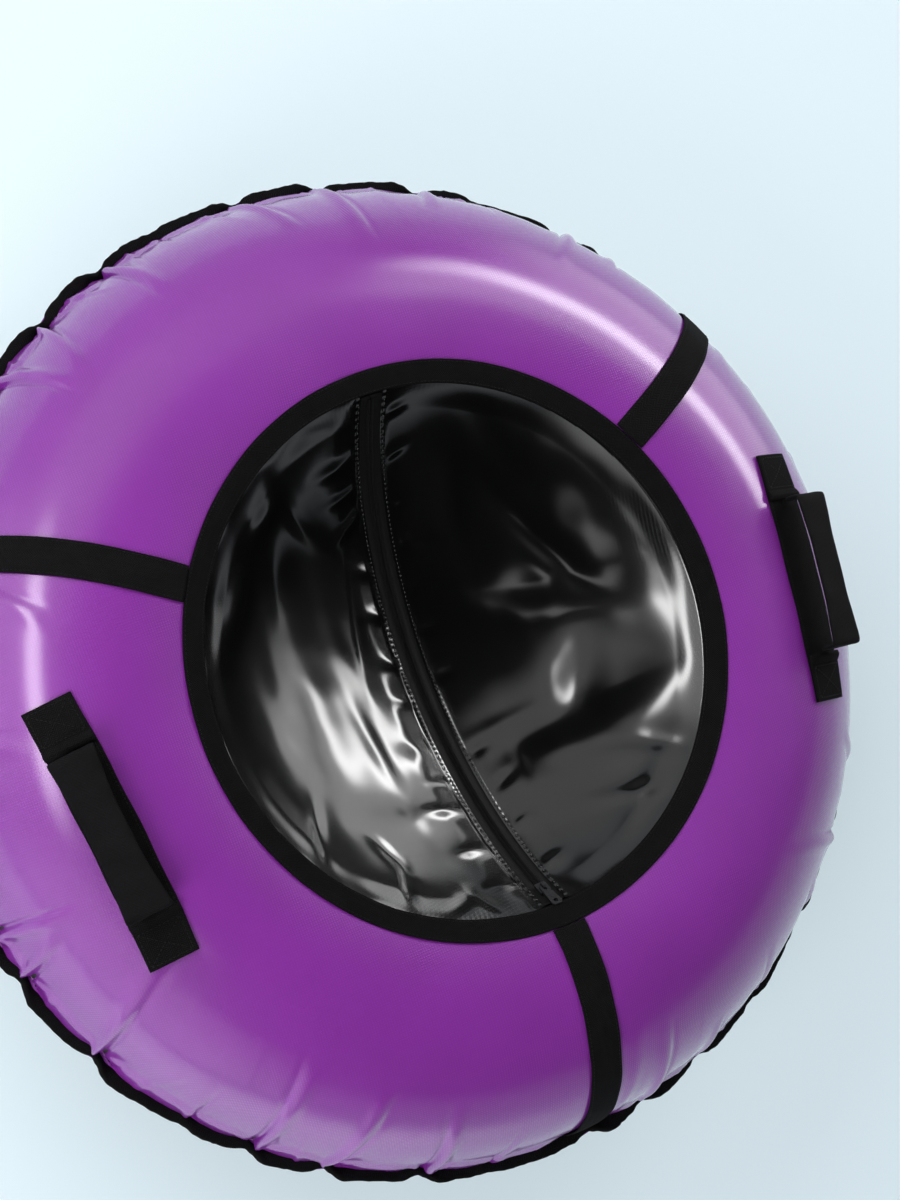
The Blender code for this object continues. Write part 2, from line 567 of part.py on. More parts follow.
def make_inner_tube():
    """The rubber ring, hollow and open at its valve, with the valve's stem, tip, core and cap."""
    outer = spun("inner_tube", tube_section(0), TUBE_ROUND, RUBBER)
    cavity = spun("cavity", tube_section(RUBBER_THICK), TUBE_ROUND, RUBBER)
    joined(outer, cavity, "DIFFERENCE")
    turn = radians(VALVE_AZIMUTH)
    toward = Vector((-cos(turn), -sin(turn), 0))
    wall = min(r for r, z in tube_section(0))
    facing = Vector((0, 0, 1)).rotation_difference(toward).to_matrix().to_4x4()

    def lathe(name, profile, start, look, steps=20):
        thing = spun(name, profile, steps, look)
        thing.data.transform(Matrix.Translation(around(start, turn, MIDDLE)) @ facing)
        return thing

    hole = lathe("hole", [(0, -4 * RUBBER_THICK), (VALVE_HOLE, -4 * RUBBER_THICK),
                          (VALVE_HOLE, 4 * RUBBER_THICK), (0, 4 * RUBBER_THICK)], wall, RUBBER, 12)
    joined(outer, hole, "DIFFERENCE")
    # Each profile is (radius, distance towards the tube's axis) from the stem's foot.
    rest = wall - 3 * FIT
    shoulder, tip_end = STEM_LENGTH, STEM_LENGTH + TIP_LENGTH
    lathe("valve_stem", [(STEM_BORE, 0), (STEM_FOOT, 0), (STEM_FOOT, STEM_FOOT_THICK),
                         (STEM_RADIUS, 3 * STEM_FOOT_THICK), (STEM_TOP_RADIUS, shoulder),
                         (STEM_BORE, shoulder)], rest, RUBBER)
    tip_start = shoulder + FIT
    lathe("valve_tip", [(CORE_RADIUS + FIT, tip_start), (TIP_RADIUS, tip_start), (TIP_RADIUS, tip_end),
                        (CORE_RADIUS + FIT, tip_end)], rest, BRASS, 16)
    lathe("valve_core", [(0, tip_end - CORE_LENGTH), (CORE_RADIUS, tip_end - CORE_LENGTH),
                         (CORE_RADIUS, tip_end - FIT), (0, tip_end - FIT)], rest, BRASS, 12)
    reach, cap_end = TIP_RADIUS + FIT, tip_end + FIT
    cap_start = tip_start + FIT
    outside, cap_top = reach + CAP_WALL, cap_start + CAP_LENGTH
    cap = lathe("valve_cap", [(0, cap_end), (reach, cap_end), (reach, cap_start), (outside, cap_start),
                              (outside, cap_start + CAP_LENGTH * 0.85), (reach, cap_top), (0, cap_top)],
                rest, CAP_PLASTIC)
    on_axis(cap, around(rest - cap_start, turn, MIDDLE))


clear_scene()
make_cover()
make_seat()
make_straps()
for handle_name, handle_azimuth in HANDLE_AZIMUTHS.items():
    make_handle(handle_name, handle_azimuth)
make_zip()
make_inner_tube()
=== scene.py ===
"""Looks of a snow tube: sewn cover with gathered rim, sunken glossy seat with its zip, straps and handles.

All sizes are in metres in the row frame. The sheets of cloth carry the flat cloth's own coordinates,
in metres, as their UV, so that weave and stitching keep their real size.
"""

from math import acos, asin, atan2, cos, hypot, pi, radians, sin, sqrt

import bmesh
import bpy
import numpy as np
from mathutils import Matrix, Quaternion, Vector


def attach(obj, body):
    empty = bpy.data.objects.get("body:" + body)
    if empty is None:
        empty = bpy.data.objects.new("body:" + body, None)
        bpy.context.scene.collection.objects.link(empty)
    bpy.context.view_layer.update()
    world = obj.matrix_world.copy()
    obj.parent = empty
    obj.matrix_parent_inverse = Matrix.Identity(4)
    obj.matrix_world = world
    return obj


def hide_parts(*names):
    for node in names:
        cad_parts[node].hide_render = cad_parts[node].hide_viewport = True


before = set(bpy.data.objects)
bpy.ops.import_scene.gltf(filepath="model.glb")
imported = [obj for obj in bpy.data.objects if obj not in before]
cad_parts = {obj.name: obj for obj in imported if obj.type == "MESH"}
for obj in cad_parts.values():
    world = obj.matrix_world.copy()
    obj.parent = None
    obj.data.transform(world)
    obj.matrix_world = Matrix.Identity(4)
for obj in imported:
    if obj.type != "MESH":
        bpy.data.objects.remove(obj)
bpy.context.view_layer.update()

# Sizes of the tube, as in the CAD source
TUBE = 0.1667
RING = 0.3205
MIDDLE = TUBE
ROOT = RING + TUBE
RIM = 0.5
FLANGE_TIP = 0.4984
SEAM_RISE = 0.014
FIT = 0.0004
RING_TAPE_WIDTH, RING_TAPE_THICK = 0.0233, 0.0020
RING_START = acos(-0.0417 / TUBE)
RING_END = RING_START + RING_TAPE_WIDTH / TUBE
RING_MID = (RING_START + RING_END) / 2
SEAM = asin(SEAM_RISE / TUBE)
SEAT_EDGE = RING + TUBE * cos(RING_END)
SEAT_SAG = 0.1305
SEAT_RADIUS = (SEAT_EDGE ** 2 + SEAT_SAG ** 2) / (2 * SEAT_SAG)
SEAT_CENTRE = MIDDLE + TUBE * sin(RING_END) - SEAT_SAG + SEAT_RADIUS
STRAPS = {"right": 30, "left": 150, "front": 270}
HANDLES = {"right": -7.2, "left": 187.2}
HANDLE_DISTANCE = RING + 0.0625
BINDING_WIDTH = 0.034
STRAP_WIDTH, STRAP_THICK = 0.035, 0.0018
# Way over the section from the seam to the end of a strap, so that it stays clear of the binding
STRAP_CLEAR = 0.0050
ZIP_HALF = 0.0115
ZIP_TAPE_WIDTH, ZIP_TAPE_THICK = 0.0155, 0.0008
TOOTH_PITCH = 0.00155
LIP = 0.0056
GATHER_FADE = 0.135

# Distance at which points are welded, and the shape of a woven tape's section: 1 is round and 0 is square
WELD = 0.00002
BAND_SHAPE = 0.4
# Steps between stitches, and the length and width of one
STITCH_STEP, CLOSE_STITCH_STEP = 0.0042, 0.0040
STITCH = (0.0032, 0.0008)

chance = np.random.default_rng(11)
draw = chance.uniform


# Shapes

def linked(name, data):
    thing = bpy.data.objects.new(name, data)
    bpy.context.scene.collection.objects.link(thing)
    return thing


def grid(columns, rows, size=0.5):
    bm = bmesh.new()
    bmesh.ops.create_grid(bm, x_segments=columns, y_segments=rows, size=size)
    return bm


def mesh_from(name, bm):
    mesh = bpy.data.meshes.new(name)
    bm.to_mesh(mesh)
    bm.free()
    return mesh


def object_from(name, bm, look, body="cover"):
    """An object from a finished shape, riding on its body."""
    mesh = mesh_from(name, bm)
    mesh.materials.append(LOOKS[look])
    mesh.shade_smooth()
    thing = linked(name, mesh)
    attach(thing, body)
    return thing


def joined(bm, fill=False):
    """Welds points that coincide, closes the holes where asked, and makes the faces point one way."""
    bmesh.ops.remove_doubles(bm, verts=bm.verts, dist=WELD)
    if fill:
        bmesh.ops.holes_fill(bm, edges=[e for e in bm.edges if e.is_boundary], sides=0)
    bmesh.ops.recalc_face_normals(bm, faces=bm.faces)
    return bm


def stands_for(thing, node):
    """Hides the solid of the frame that the piece stands in for."""
    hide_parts(node)


def dress(node, look, slot, rounding):
    """Gives a hard solid of the frame its material and finely rounded edges."""
    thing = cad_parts[node]
    thing.data.materials.clear()
    thing.data.materials.append(LOOKS[look])
    edges = thing.modifiers.new("round edges", "BEVEL")
    edges.width = rounding
    edges.segments = 2
    edges.limit_method = "ANGLE"
    edges.angle_limit = radians(30)


def sheet_grid(columns, rows, place, flat):
    """A grid with each vertex put in place by its two shares, and the flat cloth as its UV."""
    mesh = mesh_from("grid", grid(columns, rows))
    shares = np.empty(3 * len(mesh.vertices))
    mesh.vertices.foreach_get("co", shares)
    across, up, _ = shares.reshape(-1, 3).T + 0.5
    corners = np.empty(len(mesh.loops), int)
    mesh.loops.foreach_get("vertex_index", corners)
    mesh.uv_layers.new(name="cloth").data.foreach_set("uv", flat(across, up)[corners].ravel())
    mesh.vertices.foreach_set("co", place(across, up).ravel())
    bm = bmesh.new()
    bm.from_mesh(mesh)
    bpy.data.meshes.remove(mesh)
    return bm


def stack(*parts):
    return np.stack(np.broadcast_arrays(*parts), axis=-1)


def on_circle(radius, azimuth, height):
    return stack(radius * np.cos(azimuth), radius * np.sin(azimuth), height)


def around(radius, azimuth, height):
    return Vector((radius * cos(azimuth), radius * sin(azimuth), height))


def smooth_step(x):
    x = np.clip(x, 0, 1)
    return x * x * (3 - 2 * x)


def hump(x):
    """1 at 0, falling off to nearly 0 at 2 on both sides."""
    return np.exp(-x ** 2)


def squared(wave, power):
    """A wave of -1 to 1 with filled-out shoulders: power 1 leaves it as it is, and 0 makes it square."""
    return np.sign(wave) * np.abs(wave) ** power


def waves(x, y, length, count, seed):
    """A smooth uneven field from a few sine waves in odd directions, about -1 to 1."""
    rng = np.random.default_rng(seed)
    total = 0
    for _ in range(count):
        turn, size, start = rng.uniform(0, 2 * pi), length * rng.uniform(0.65, 1.5), rng.uniform(0, 2 * pi)
        total = total + np.sin((x * cos(turn) + y * sin(turn)) * 2 * pi / size + start)
    return total / sqrt(count) / 1.2


# Rim seam and cover

# Each tuck of the rim seam: azimuth in degrees and strength, every fourth one slight
TUCKS = [(10 * number + draw(-2.2, 2.2), draw(0.8, 1.0) if number % 4 != 2 else draw(0.25, 0.4))
         for number in range(36)]
TUCK_TURNS, TUCK_STRENGTHS = np.radians([tuck[0] for tuck in TUCKS]), np.array([tuck[1] for tuck in TUCKS])
TUCK_TURNS_ROUND = np.concatenate((TUCK_TURNS, [TUCK_TURNS[0] + 2 * pi]))

# Each crease of the cover: azimuth, depth, length, slant, bend, steep side, half width
CREASES = []
for turn, strength in TUCKS:
    side = chance.choice((-1, 1))
    CREASES.append((radians(turn), strength, draw(0.09, 0.19) * (0.4 + 0.6 * strength),
                    draw(-0.22, 0.22), draw(-1.2, 1.2), side, 0.0046))
    for way in (-1, 1):
        CREASES.append((radians(turn) + way * draw(0.004, 0.010), 0.75 * strength,
                        draw(0.014, 0.03), way * draw(0.5, 1.3),
                        way * draw(0, 14), -way, 0.0024))
    if draw() < 0.6:
        CREASES.append((radians(turn) + draw(0.04, 0.12), 0.4, draw(0.03, 0.09),
                        draw(-0.4, 0.4), 0, side, 0.0034))


def off_strap(azimuth):
    """0 under a strap and 1 clear of it."""
    share = np.ones_like(azimuth)
    for middle in STRAPS.values():
        away = np.abs((np.degrees(azimuth) - middle + 180) % 360 - 180)
        share = np.minimum(share, np.clip((away - 2.9) / 3.4, 0, 1))
    return share


def from_tuck(azimuth):
    """Metres along the rim from the nearest tuck, and that tuck's strength."""
    turn = (azimuth - TUCK_TURNS[0]) % (2 * pi) + TUCK_TURNS[0]
    index = np.clip(np.searchsorted(TUCK_TURNS_ROUND, turn, side="right") - 1, 0, len(TUCKS) - 1)
    before, after = turn - TUCK_TURNS_ROUND[index], TUCK_TURNS_ROUND[index + 1] - turn
    nearer = before < after
    strength = np.where(nearer, TUCK_STRENGTHS[index], TUCK_STRENGTHS[(index + 1) % len(TUCKS)])
    return np.where(nearer, before, -after) * RIM, strength


def neck(azimuth, reach=0.011):
    """1 where a strong tuck draws the seam in, 0 clear of it."""
    away, strength = from_tuck(azimuth)
    return strength * np.exp(-(np.abs(away) / reach) ** 1.5)


def rim_wave(azimuth):
    """How far the seam is drawn in and bent up by the tucks."""
    drawn = neck(azimuth, 0.014)
    slack = 0.0007 * np.sin(17 * azimuth + 1) + 0.0005 * np.sin(41 * azimuth)
    return slack * (1 - drawn) - 0.0042 * drawn, 0.0012 * drawn - 0.0012 + 0.0008 * np.sin(11 * azimuth)


def crease_depth(azimuth, along, radius):
    """Pleats that run from the tucks over the cover: a soft ridge with a steep thin valley on one side."""
    total = np.zeros_like(along)
    for start, strength, length, slant, bend, side, width in CREASES:
        away = side * (((azimuth - start + pi) % (2 * pi) - pi) * radius - slant * along - bend * along ** 2)
        near = (np.abs(away) < 0.04) & (along < length) & (along > -0.02)
        if not near.any():
            continue
        run, off = np.clip(along[near], 0, None), away[near]
        left = strength * (1 - run / length) ** 0.85 * smooth_step(run / 0.004)
        wide = width + 0.035 * run
        thin = 0.40 * width + 0.012 * run
        ridge = hump((off - 1.1 * wide) / wide)
        valley = hump((off + 0.6 * thin) / thin)
        shelf = hump((off + 3.2 * wide) / (2.2 * wide))
        total[near] += left * width / 0.0042 * (0.0066 * ridge - 0.0052 * valley - 0.0012 * shelf)
    return total


def cover_push(azimuth, along, radius):
    """How far the cover stands out of its round section: an upright band at the seam, up to a folded edge,
    then a lip that falls off over the crown, all of it drawn in at the tucks."""
    fold = 0.0175 + 0.0024 * np.sin(23 * azimuth + 1) + 0.0017 * np.sin(57 * azimuth + 2)
    fold = fold * (1 - 0.7 * neck(azimuth, 0.016))
    run = np.clip(along, 0, None)
    over = np.clip(run - fold, 0, None)
    stand = np.where(run < fold, 1 - 0.12 * run / fold, 0.88 - 0.60 * smooth_step(over / 0.010)
                     - 0.28 * smooth_step(over / (GATHER_FADE - 0.015)) ** 0.8)
    dip = neck(azimuth, 0.013) * np.exp(-run / 0.030)
    soft = 0.00035 * waves(azimuth * 0.42, along, 0.22, 7, 3) * smooth_step(along / 0.05)
    push = LIP * stand * (1 - dip) + crease_depth(azimuth, along, radius)
    # The cloth lies on the inner tube, so a valley ends there.
    push = np.where(push < 0.0004, 0.0004 - 0.0014 * np.tanh((0.0004 - push) / 0.0014), push)
    return push * off_strap(azimuth) + soft


def tuck_turn(share):
    """Azimuth of a column of the grid: the columns stand closer together at the tucks."""
    place = share * len(TUCKS)
    index = np.clip(place.astype(int), 0, len(TUCKS) - 1)
    rest = place - index
    rest = rest - 0.72 * np.sin(2 * pi * rest) / (2 * pi)
    return TUCK_TURNS_ROUND[index] + (TUCK_TURNS_ROUND[index + 1] - TUCK_TURNS_ROUND[index]) * rest


TOP_LENGTH = (RING_MID - SEAM) * TUBE
BOTTOM_LENGTH = (SEAM + pi / 2) * TUBE
FLANGE = FLANGE_TIP - ROOT
# How the rows of the two panels crowd towards the seam
TOP_SPACING, BOTTOM_SPACING = 1.35, 1.3
# Shares of a panel's rows: in its flange, and on the bottom's wall
FLANGE_ROWS, WALL_SHARE = 0.08, 0.86


def cover_rows(share, length, power):
    """Distance from the seam of a row of the grid, negative in the flange."""
    return np.where(share < FLANGE_ROWS, (share / FLANGE_ROWS - 1) * FLANGE,
                    length * np.clip((share - FLANGE_ROWS) / (1 - FLANGE_ROWS), 0, 1) ** power)


def cover_place(columns, rows, way, length, power):
    """Points of the top panel (way 1) or of the bottom panel (way -1)."""
    azimuth, along = tuck_turn(columns), cover_rows(rows, length, power)
    first = SEAM + way * 0.0012 / TUBE
    angle = first + way * np.clip(along, 0, None) / TUBE
    angle = np.minimum(angle, RING_MID) if way > 0 else np.maximum(angle, -pi / 2)
    inward, up = rim_wave(azimuth)
    radius = RING + TUBE * np.cos(angle)
    push = (1 if way > 0 else 0.8) * cover_push(azimuth, along, radius)
    hold = hump(np.clip(along, 0, None) / 0.012)
    radius = radius + push * np.cos(angle) + inward * hold
    height = MIDDLE + (TUBE + push) * np.sin(angle) + up * hold
    if way < 0:
        height = np.maximum(height, 0.0)
    flange = np.clip(-along / FLANGE, 0, 1)
    radius = radius + (FLANGE_TIP + inward - radius) * flange
    height = np.where(along <= 0, MIDDLE + SEAM_RISE + way * 0.0010 + up, height)
    return on_circle(radius, azimuth, height)


def make_top():
    def flat(columns, rows):
        ring = RING + TUBE * cos(RING_MID)
        along = cover_rows(rows, TOP_LENGTH, TOP_SPACING)
        return on_circle(ring + TOP_LENGTH - along, tuck_turn(columns), 0)[:, :2]

    bm = sheet_grid(1512, 60, lambda u, v: cover_place(u, v, 1, TOP_LENGTH, TOP_SPACING), flat)
    top = object_from("cover_top", joined(bm), "purple")
    stands_for(top, "top_cover_panel")


def make_bottom():
    flat_radius = RING + BOTTOM_LENGTH

    def place(columns, rows):
        """The wall down to the floor, and then straight on to the middle."""
        wall = np.minimum(rows / WALL_SHARE, 1)
        points = cover_place(columns, wall, -1, BOTTOM_LENGTH, BOTTOM_SPACING)
        share = np.clip((1 - rows) / (1 - WALL_SHARE), 0, 1)
        return points * np.where(rows[:, None] > WALL_SHARE, stack(share, share, 0), 1)

    def flat(columns, rows):
        along = cover_rows(np.minimum(rows / WALL_SHARE, 1), BOTTOM_LENGTH, BOTTOM_SPACING)
        radius = np.where(rows > WALL_SHARE, RING * (1 - rows) / (1 - WALL_SHARE), flat_radius - along)
        return on_circle(radius, tuck_turn(columns), 0)[:, :2]

    bm = sheet_grid(1080, 43, place, flat)
    bottom = object_from("cover_bottom", joined(bm), "bottom")
    stands_for(bottom, "bottom_cover_panel")


def make_binding():
    """Tape folded over the raw edges of the two panels, drawn in and twisted at each tuck."""
    def place(columns, rows):
        azimuth = tuck_turn(columns)
        inward, up = rim_wave(azimuth)
        away, strength = from_tuck(azimuth)
        drawn = neck(azimuth)
        # Across the tape: in along the underside, round the edge and back over the top.
        turn = -pi + 0.16 + (2 * pi - 0.32) * rows
        c, s = np.cos(turn), np.sin(turn)
        roll_end = strength * hump((np.abs(away) - 0.020) / 0.009)
        uneven = 1 + 0.05 * np.sin(29 * azimuth + 1) + 0.03 * np.sin(83 * azimuth)
        wide = 0.0074 * (1 - 0.50 * drawn + 0.12 * roll_end) * uneven
        fat = 0.0040 * (1 - 0.12 * drawn + 0.18 * roll_end) * (1 + 0.06 * np.sin(37 * azimuth))
        pleats = 0.00055 * np.sin(away / 0.0021 + 500 * wide * c) * drawn
        pleats = pleats + 0.00036 * waves(azimuth * RIM, rows * 0.03, 0.014, 5, 21)
        across = (wide + pleats) * squared(c, 0.6)
        lift = (fat + pleats) * squared(s, 0.7)
        twist = strength * (1.5 * (away / 0.014) * hump(away / 0.014) + 0.55 * drawn)
        twist = twist + 0.10 * np.sin(13 * azimuth + 2)
        step = 0.0027 * strength * np.tanh(away / 0.005) * hump(away / 0.030)
        radius = RIM - 0.0052 + across * np.cos(twist) - lift * np.sin(twist) + inward + step
        height = MIDDLE + SEAM_RISE + lift * np.cos(twist) + across * np.sin(twist) + up
        return on_circle(radius, azimuth, height)

    def flat(columns, rows):
        return stack(tuck_turn(columns) * RIM, BINDING_WIDTH * rows)

    bm = joined(sheet_grid(1500, 18, place, flat))
    tape = object_from("rim_tape", bm, "twill")
    stands_for(tape, "rim_binding")
    turns = np.arange(0, 2 * pi, 0.0046 / RIM)
    inward, up = rim_wave(turns)
    spots = on_circle(RIM - 0.0104 + inward, turns, MIDDLE + SEAM_RISE + 0.0040 + up)
    line = [(Vector(spot), Vector((0, 0, 1))) for spot in spots]
    thread = stitching("rim_tape_thread", line, "thread", 0.0034, 0.0009)


# Tapes, webbing and stitches

def copies(name, make_one, matrices, look):
    """One object that holds a copy of a small shape for each matrix."""
    one = bmesh.new()
    make_one(one)
    unit = mesh_from("unit", one)
    corners = np.array([v.co[:] for v in unit.vertices])
    bm = bmesh.new()
    for matrix in matrices:
        turned = np.array(matrix)
        unit.vertices.foreach_set("co", (corners @ turned[:3, :3].T + turned[:3, 3]).ravel())
        bm.from_mesh(unit)
    bpy.data.meshes.remove(unit)
    return object_from(name, bm, look)


def standing(centre, *axes):
    """The matrix that gives a unit shape three half axes and a place."""
    matrix = Matrix(axes).transposed().to_4x4()
    matrix.translation = centre
    return matrix


def stitching(name, line, look, length, width):
    """A row of stitches along a line of (place, normal), one between each two points that lie close."""
    matrices = []
    for (place, normal), (after, _) in zip(line, line[1:]):
        ahead = after - place
        if ahead.length > 3 * length:
            continue
        ahead = ahead.normalized()
        side = normal.cross(ahead).normalized()
        matrices.append(standing((place + after) / 2, ahead * length / 2, side * width / 2,
                                 normal * width * 0.42))
    return copies(name, lambda bm: bmesh.ops.create_icosphere(bm, subdivisions=1, radius=1), matrices, look)


def upright(at, where, low, high):
    """A place at the lower height, and the direction that leads from it to the higher one."""
    place = at(*where, low)
    return place, (at(*where, high) - place).normalized()


def run_between(points, at, step):
    """Places and normals at even steps along straight runs between flat points."""
    line = []
    for (a, b), (c, d) in zip(points, points[1:]):
        count = max(1, round(hypot(c - a, d - b) / step))
        for i in range(count):
            t = i / count
            line.append(at(a + (c - a) * t, b + (d - b) * t))
    line.append(at(*points[-1]))
    return line


def band(name, steps, sides, at, width, thick, length, look, closed=False):
    """Woven tape with a rounded flat section; at(share, across, up) puts each of its points in place."""
    def across(turn):
        return width / 2 * squared(np.cos(turn), BAND_SHAPE)

    def place(columns, rows):
        points = []
        for share, turn in zip(columns, 2 * pi * rows):
            depth = thick(share) if callable(thick) else thick
            points.append(at(share, across(turn), depth / 2 * (1 + squared(sin(turn), BAND_SHAPE))))
        return np.array(points)

    def flat(columns, rows):
        return stack(length * columns, across(2 * pi * rows))

    bm = sheet_grid(steps, sides, place, flat)
    return object_from(name, joined(bm, fill=not closed), look)


def make_ring_tape():
    def at(share, across, up):
        azimuth = 2 * pi * share
        angle = RING_MID - across / TUBE + 0.0012 * sin(9 * azimuth)
        reach = TUBE + FIT + up + 0.0003 * sin(23 * azimuth + 60 * across)
        return around(RING + reach * cos(angle), azimuth, MIDDLE + reach * sin(angle))

    length = 2 * pi * (RING + TUBE * cos(RING_MID))
    tape = band("seat_ring_twill", 540, 20, at, RING_TAPE_WIDTH, RING_TAPE_THICK, length, "twill",
                closed=True)
    stands_for(tape, "seat_ring_tape")
    line = []
    for across in (0.0094, -0.0094):
        steps = round(length / CLOSE_STITCH_STEP)
        line += [upright(at, (i / steps, across), 0.0019, 0.0030) for i in range(steps + 1)]
    thread = stitching("seat_ring_thread", line, "thread", 0.0031, 0.0008)


def make_straps():
    first = SEAM + STRAP_CLEAR / TUBE
    last = RING_START - 1.5 * FIT / TUBE
    length = (last - first) * TUBE
    for name, turn in STRAPS.items():
        azimuth = radians(turn)
        side = Vector((-sin(azimuth), cos(azimuth), 0))

        def at(share, across, up):
            angle = first + (last - first) * share
            crown = 0.0006 * (1 - (2 * across / STRAP_WIDTH) ** 2)
            reach = TUBE + 2 * FIT + up + crown + 0.0004 * sin(31 * share + 90 * across)
            place = around(RING + reach * cos(angle), azimuth, MIDDLE + reach * sin(angle))
            return place + side * (across + 0.0007 * sin(9 * share + turn))

        strap = band(f"strap_{name}_webbing", 90, 20, at, STRAP_WIDTH, STRAP_THICK, length, "webbing")
        stands_for(strap, f"strap_{name}")

        def on_top(along, across):
            return upright(at, (along / length, across), STRAP_THICK, 0.0030)

        line = []
        for across in (0.0148, -0.0148):
            line += run_between(((0.001, across), (length - 0.001, across)), on_top, STITCH_STEP)
        thread = stitching(f"strap_{name}_thread", line, "thread", *STITCH)


# Handles

def on_cover(azimuth, along, across, offset):
    """A point over the cover near a handle: along its chord, across it and off the surface."""
    start = acos((hypot(HANDLE_DISTANCE, along) - RING) / TUBE)
    out = HANDLE_DISTANCE + TUBE * (cos(start - across / TUBE) - cos(start))
    angle = acos((hypot(out, along) - RING) / TUBE)
    reach = TUBE + offset
    return around(RING + reach * cos(angle), azimuth + atan2(along, out), MIDDLE + reach * sin(angle))


BASE_LENGTH, BASE_WIDTH, BASE_THICK = 0.255, 0.050, 0.0018
TAB_LENGTH, TAB_WIDTH, TAB_THICK, LIP_THICK = 0.0475, 0.049, 0.0016, 0.0058
# How high the base and the tabs lie over the cover, and the two ends of a tab from the handle's middle
BASE_LOW = 2 * FIT
TAB_LOW = BASE_LOW + BASE_THICK + FIT
TAB_OUTER = BASE_LENGTH / 2 - FIT
TAB_INNER = TAB_OUTER - TAB_LENGTH
# The grip: its rise, the thickness of strap and sleeve, and the half width at the ends and in the middle
GRIP_RISE, CORE_THICK, SLEEVE_THICK = 0.0325, 0.0016, 0.0009
END_HALF, MID_HALF = 0.0225, 0.0185
HALF_SLEEVE = CORE_THICK / 2 + FIT + SLEEVE_THICK


def smooth_path(stations, count):
    """Even steps along a smooth curve through stations of numbers."""
    points = np.array(stations, float)
    padded = np.vstack((2 * points[0] - points[1], points, 2 * points[-1] - points[-2]))
    result = []
    for step in range(count + 1):
        place = step / count * (len(points) - 1)
        i = min(int(place), len(points) - 2)
        t = place - i
        a, b, c, d = padded[i:i + 4]
        result.append(0.5 * (2 * b + (c - a) * t + (2 * a - 5 * b + 4 * c - d) * t ** 2
                             + (3 * b - a - 3 * c + d) * t ** 3))
    return result


def make_base(name, azimuth):
    """The strap that is sewn to the cover under the handle."""
    def at(share, across, up):
        across += 0.0004 * sin(21 * share)
        return on_cover(azimuth, BASE_LENGTH * (share - 0.5), across, BASE_LOW + up)

    def on_top(along, across):
        return upright(on_cover, (azimuth, along, across), BASE_LOW + BASE_THICK, BASE_LOW + 0.004)

    base = band(f"handle_{name}_base_webbing", 120, 22, at, BASE_WIDTH, BASE_THICK, BASE_LENGTH, "webbing")
    stands_for(base, f"handle_{name}_base")
    edge, half = BASE_WIDTH / 2 - 0.003, BASE_LENGTH / 2 - 0.003
    line = []
    for across in (edge, -edge):
        line += run_between(((-half, across), (half, across)), on_top, STITCH_STEP)
    thread = stitching(f"handle_{name}_base_thread", line, "thread", *STITCH)
    return base


def make_tab(name, azimuth, way):
    """A sewn end of the loop strap, with a thick rolled lip where the grip leaves it."""
    def depth(share):
        roll = max(0.0, 1 - abs(share - 0.075) / 0.13)
        return TAB_THICK + (LIP_THICK - TAB_THICK) * roll ** 0.7

    def at(share, across, up):
        return on_cover(azimuth, way * (TAB_INNER + TAB_LENGTH * share), across, TAB_LOW + up)

    def on_top(along, across):
        height = TAB_LOW + depth((abs(along) - TAB_INNER) / TAB_LENGTH)
        return upright(on_cover, (azimuth, along, across), height, height + 0.002)

    word = "rear" if way * cos(azimuth) > 0 else "front"
    tab = band(f"handle_{name}_tab_{word}_webbing", 48, 22, at, TAB_WIDTH, depth, TAB_LENGTH, "webbing")
    stands_for(tab, f"handle_{name}_tab_{word}")
    # A box of stitches with a cross in it
    a, b, w = way * (TAB_INNER + 0.0125), way * (TAB_OUTER - 0.0035), TAB_WIDTH / 2 - 0.004
    box = ((a, w), (b, w), (b, -w), (a, -w), (a, w), (b, -w))
    line = run_between(box, on_top, CLOSE_STITCH_STEP)
    line += run_between(((a, -w), (b, w)), on_top, CLOSE_STITCH_STEP)
    thread = stitching(f"handle_{name}_tab_{word}_thread", line, "thread", 0.0033, 0.0010)


def grip_ways(azimuth, stations, steps):
    """Place, side, outward direction and half width at each step of a grip's path."""
    path = smooth_path(stations, steps)
    tilt = acos((HANDLE_DISTANCE - RING) / TUBE)
    along_axis = Vector((-sin(azimuth), cos(azimuth), 0))
    up_axis, side = around(cos(tilt), azimuth, sin(tilt)), around(sin(tilt), azimuth, -cos(tilt))
    middle = on_cover(azimuth, 0, 0, 0)
    points = [middle + along_axis * s + up_axis * h for s, h, _ in path]
    ways = []
    for i, point in enumerate(points):
        heading = (points[min(len(points) - 1, i + 1)] - points[max(0, i - 1)]).normalized()
        if i in (0, len(points) - 1):
            heading = up_axis if i == 0 else -up_axis
        ways.append((point, side, heading.cross(side).normalized(), path[i][2]))
    return ways


def wrapped(name, ways, look, body, opening, thick, loose):
    """Cloth folded round a path, and its length; opening is the angle left open below, to each side."""
    steps = len(ways) - 1
    lengths = [0.0]
    for (a, *_), (b, *_) in zip(ways, ways[1:]):
        lengths.append(lengths[-1] + (b - a).length)

    def place(columns, rows):
        points = []
        for u, v in zip(columns, rows):
            point, side, out, width = ways[round(u * steps)]
            turn = -pi / 2 + opening + (2 * pi - 2 * opening) * v
            c, s = cos(turn), sin(turn)
            across = width * squared(c, 0.45)
            lift = thick * squared(s, 0.55)
            crumple = loose * (sin(70 * u + 130 * across) + sin(41 * u - 90 * across + 2)) * 0.5
            dent = -loose * 1.2 * (1 - (across / width) ** 2) * sin(9 * u) ** 2 if s > 0 else 0
            points.append(point + side * across + out * (lift + crumple * abs(s) + dent))
        return np.array(points)

    def flat(columns, rows):
        return stack(np.array(lengths)[np.round(columns * steps).astype(int)], rows * 4 * MID_HALF)

    bm = sheet_grid(steps, 40, place, flat)
    if opening == 0:
        joined(bm, fill=True)
    else:
        bmesh.ops.recalc_face_normals(bm, faces=bm.faces)
    return object_from(name, bm, look, body), lengths[-1]


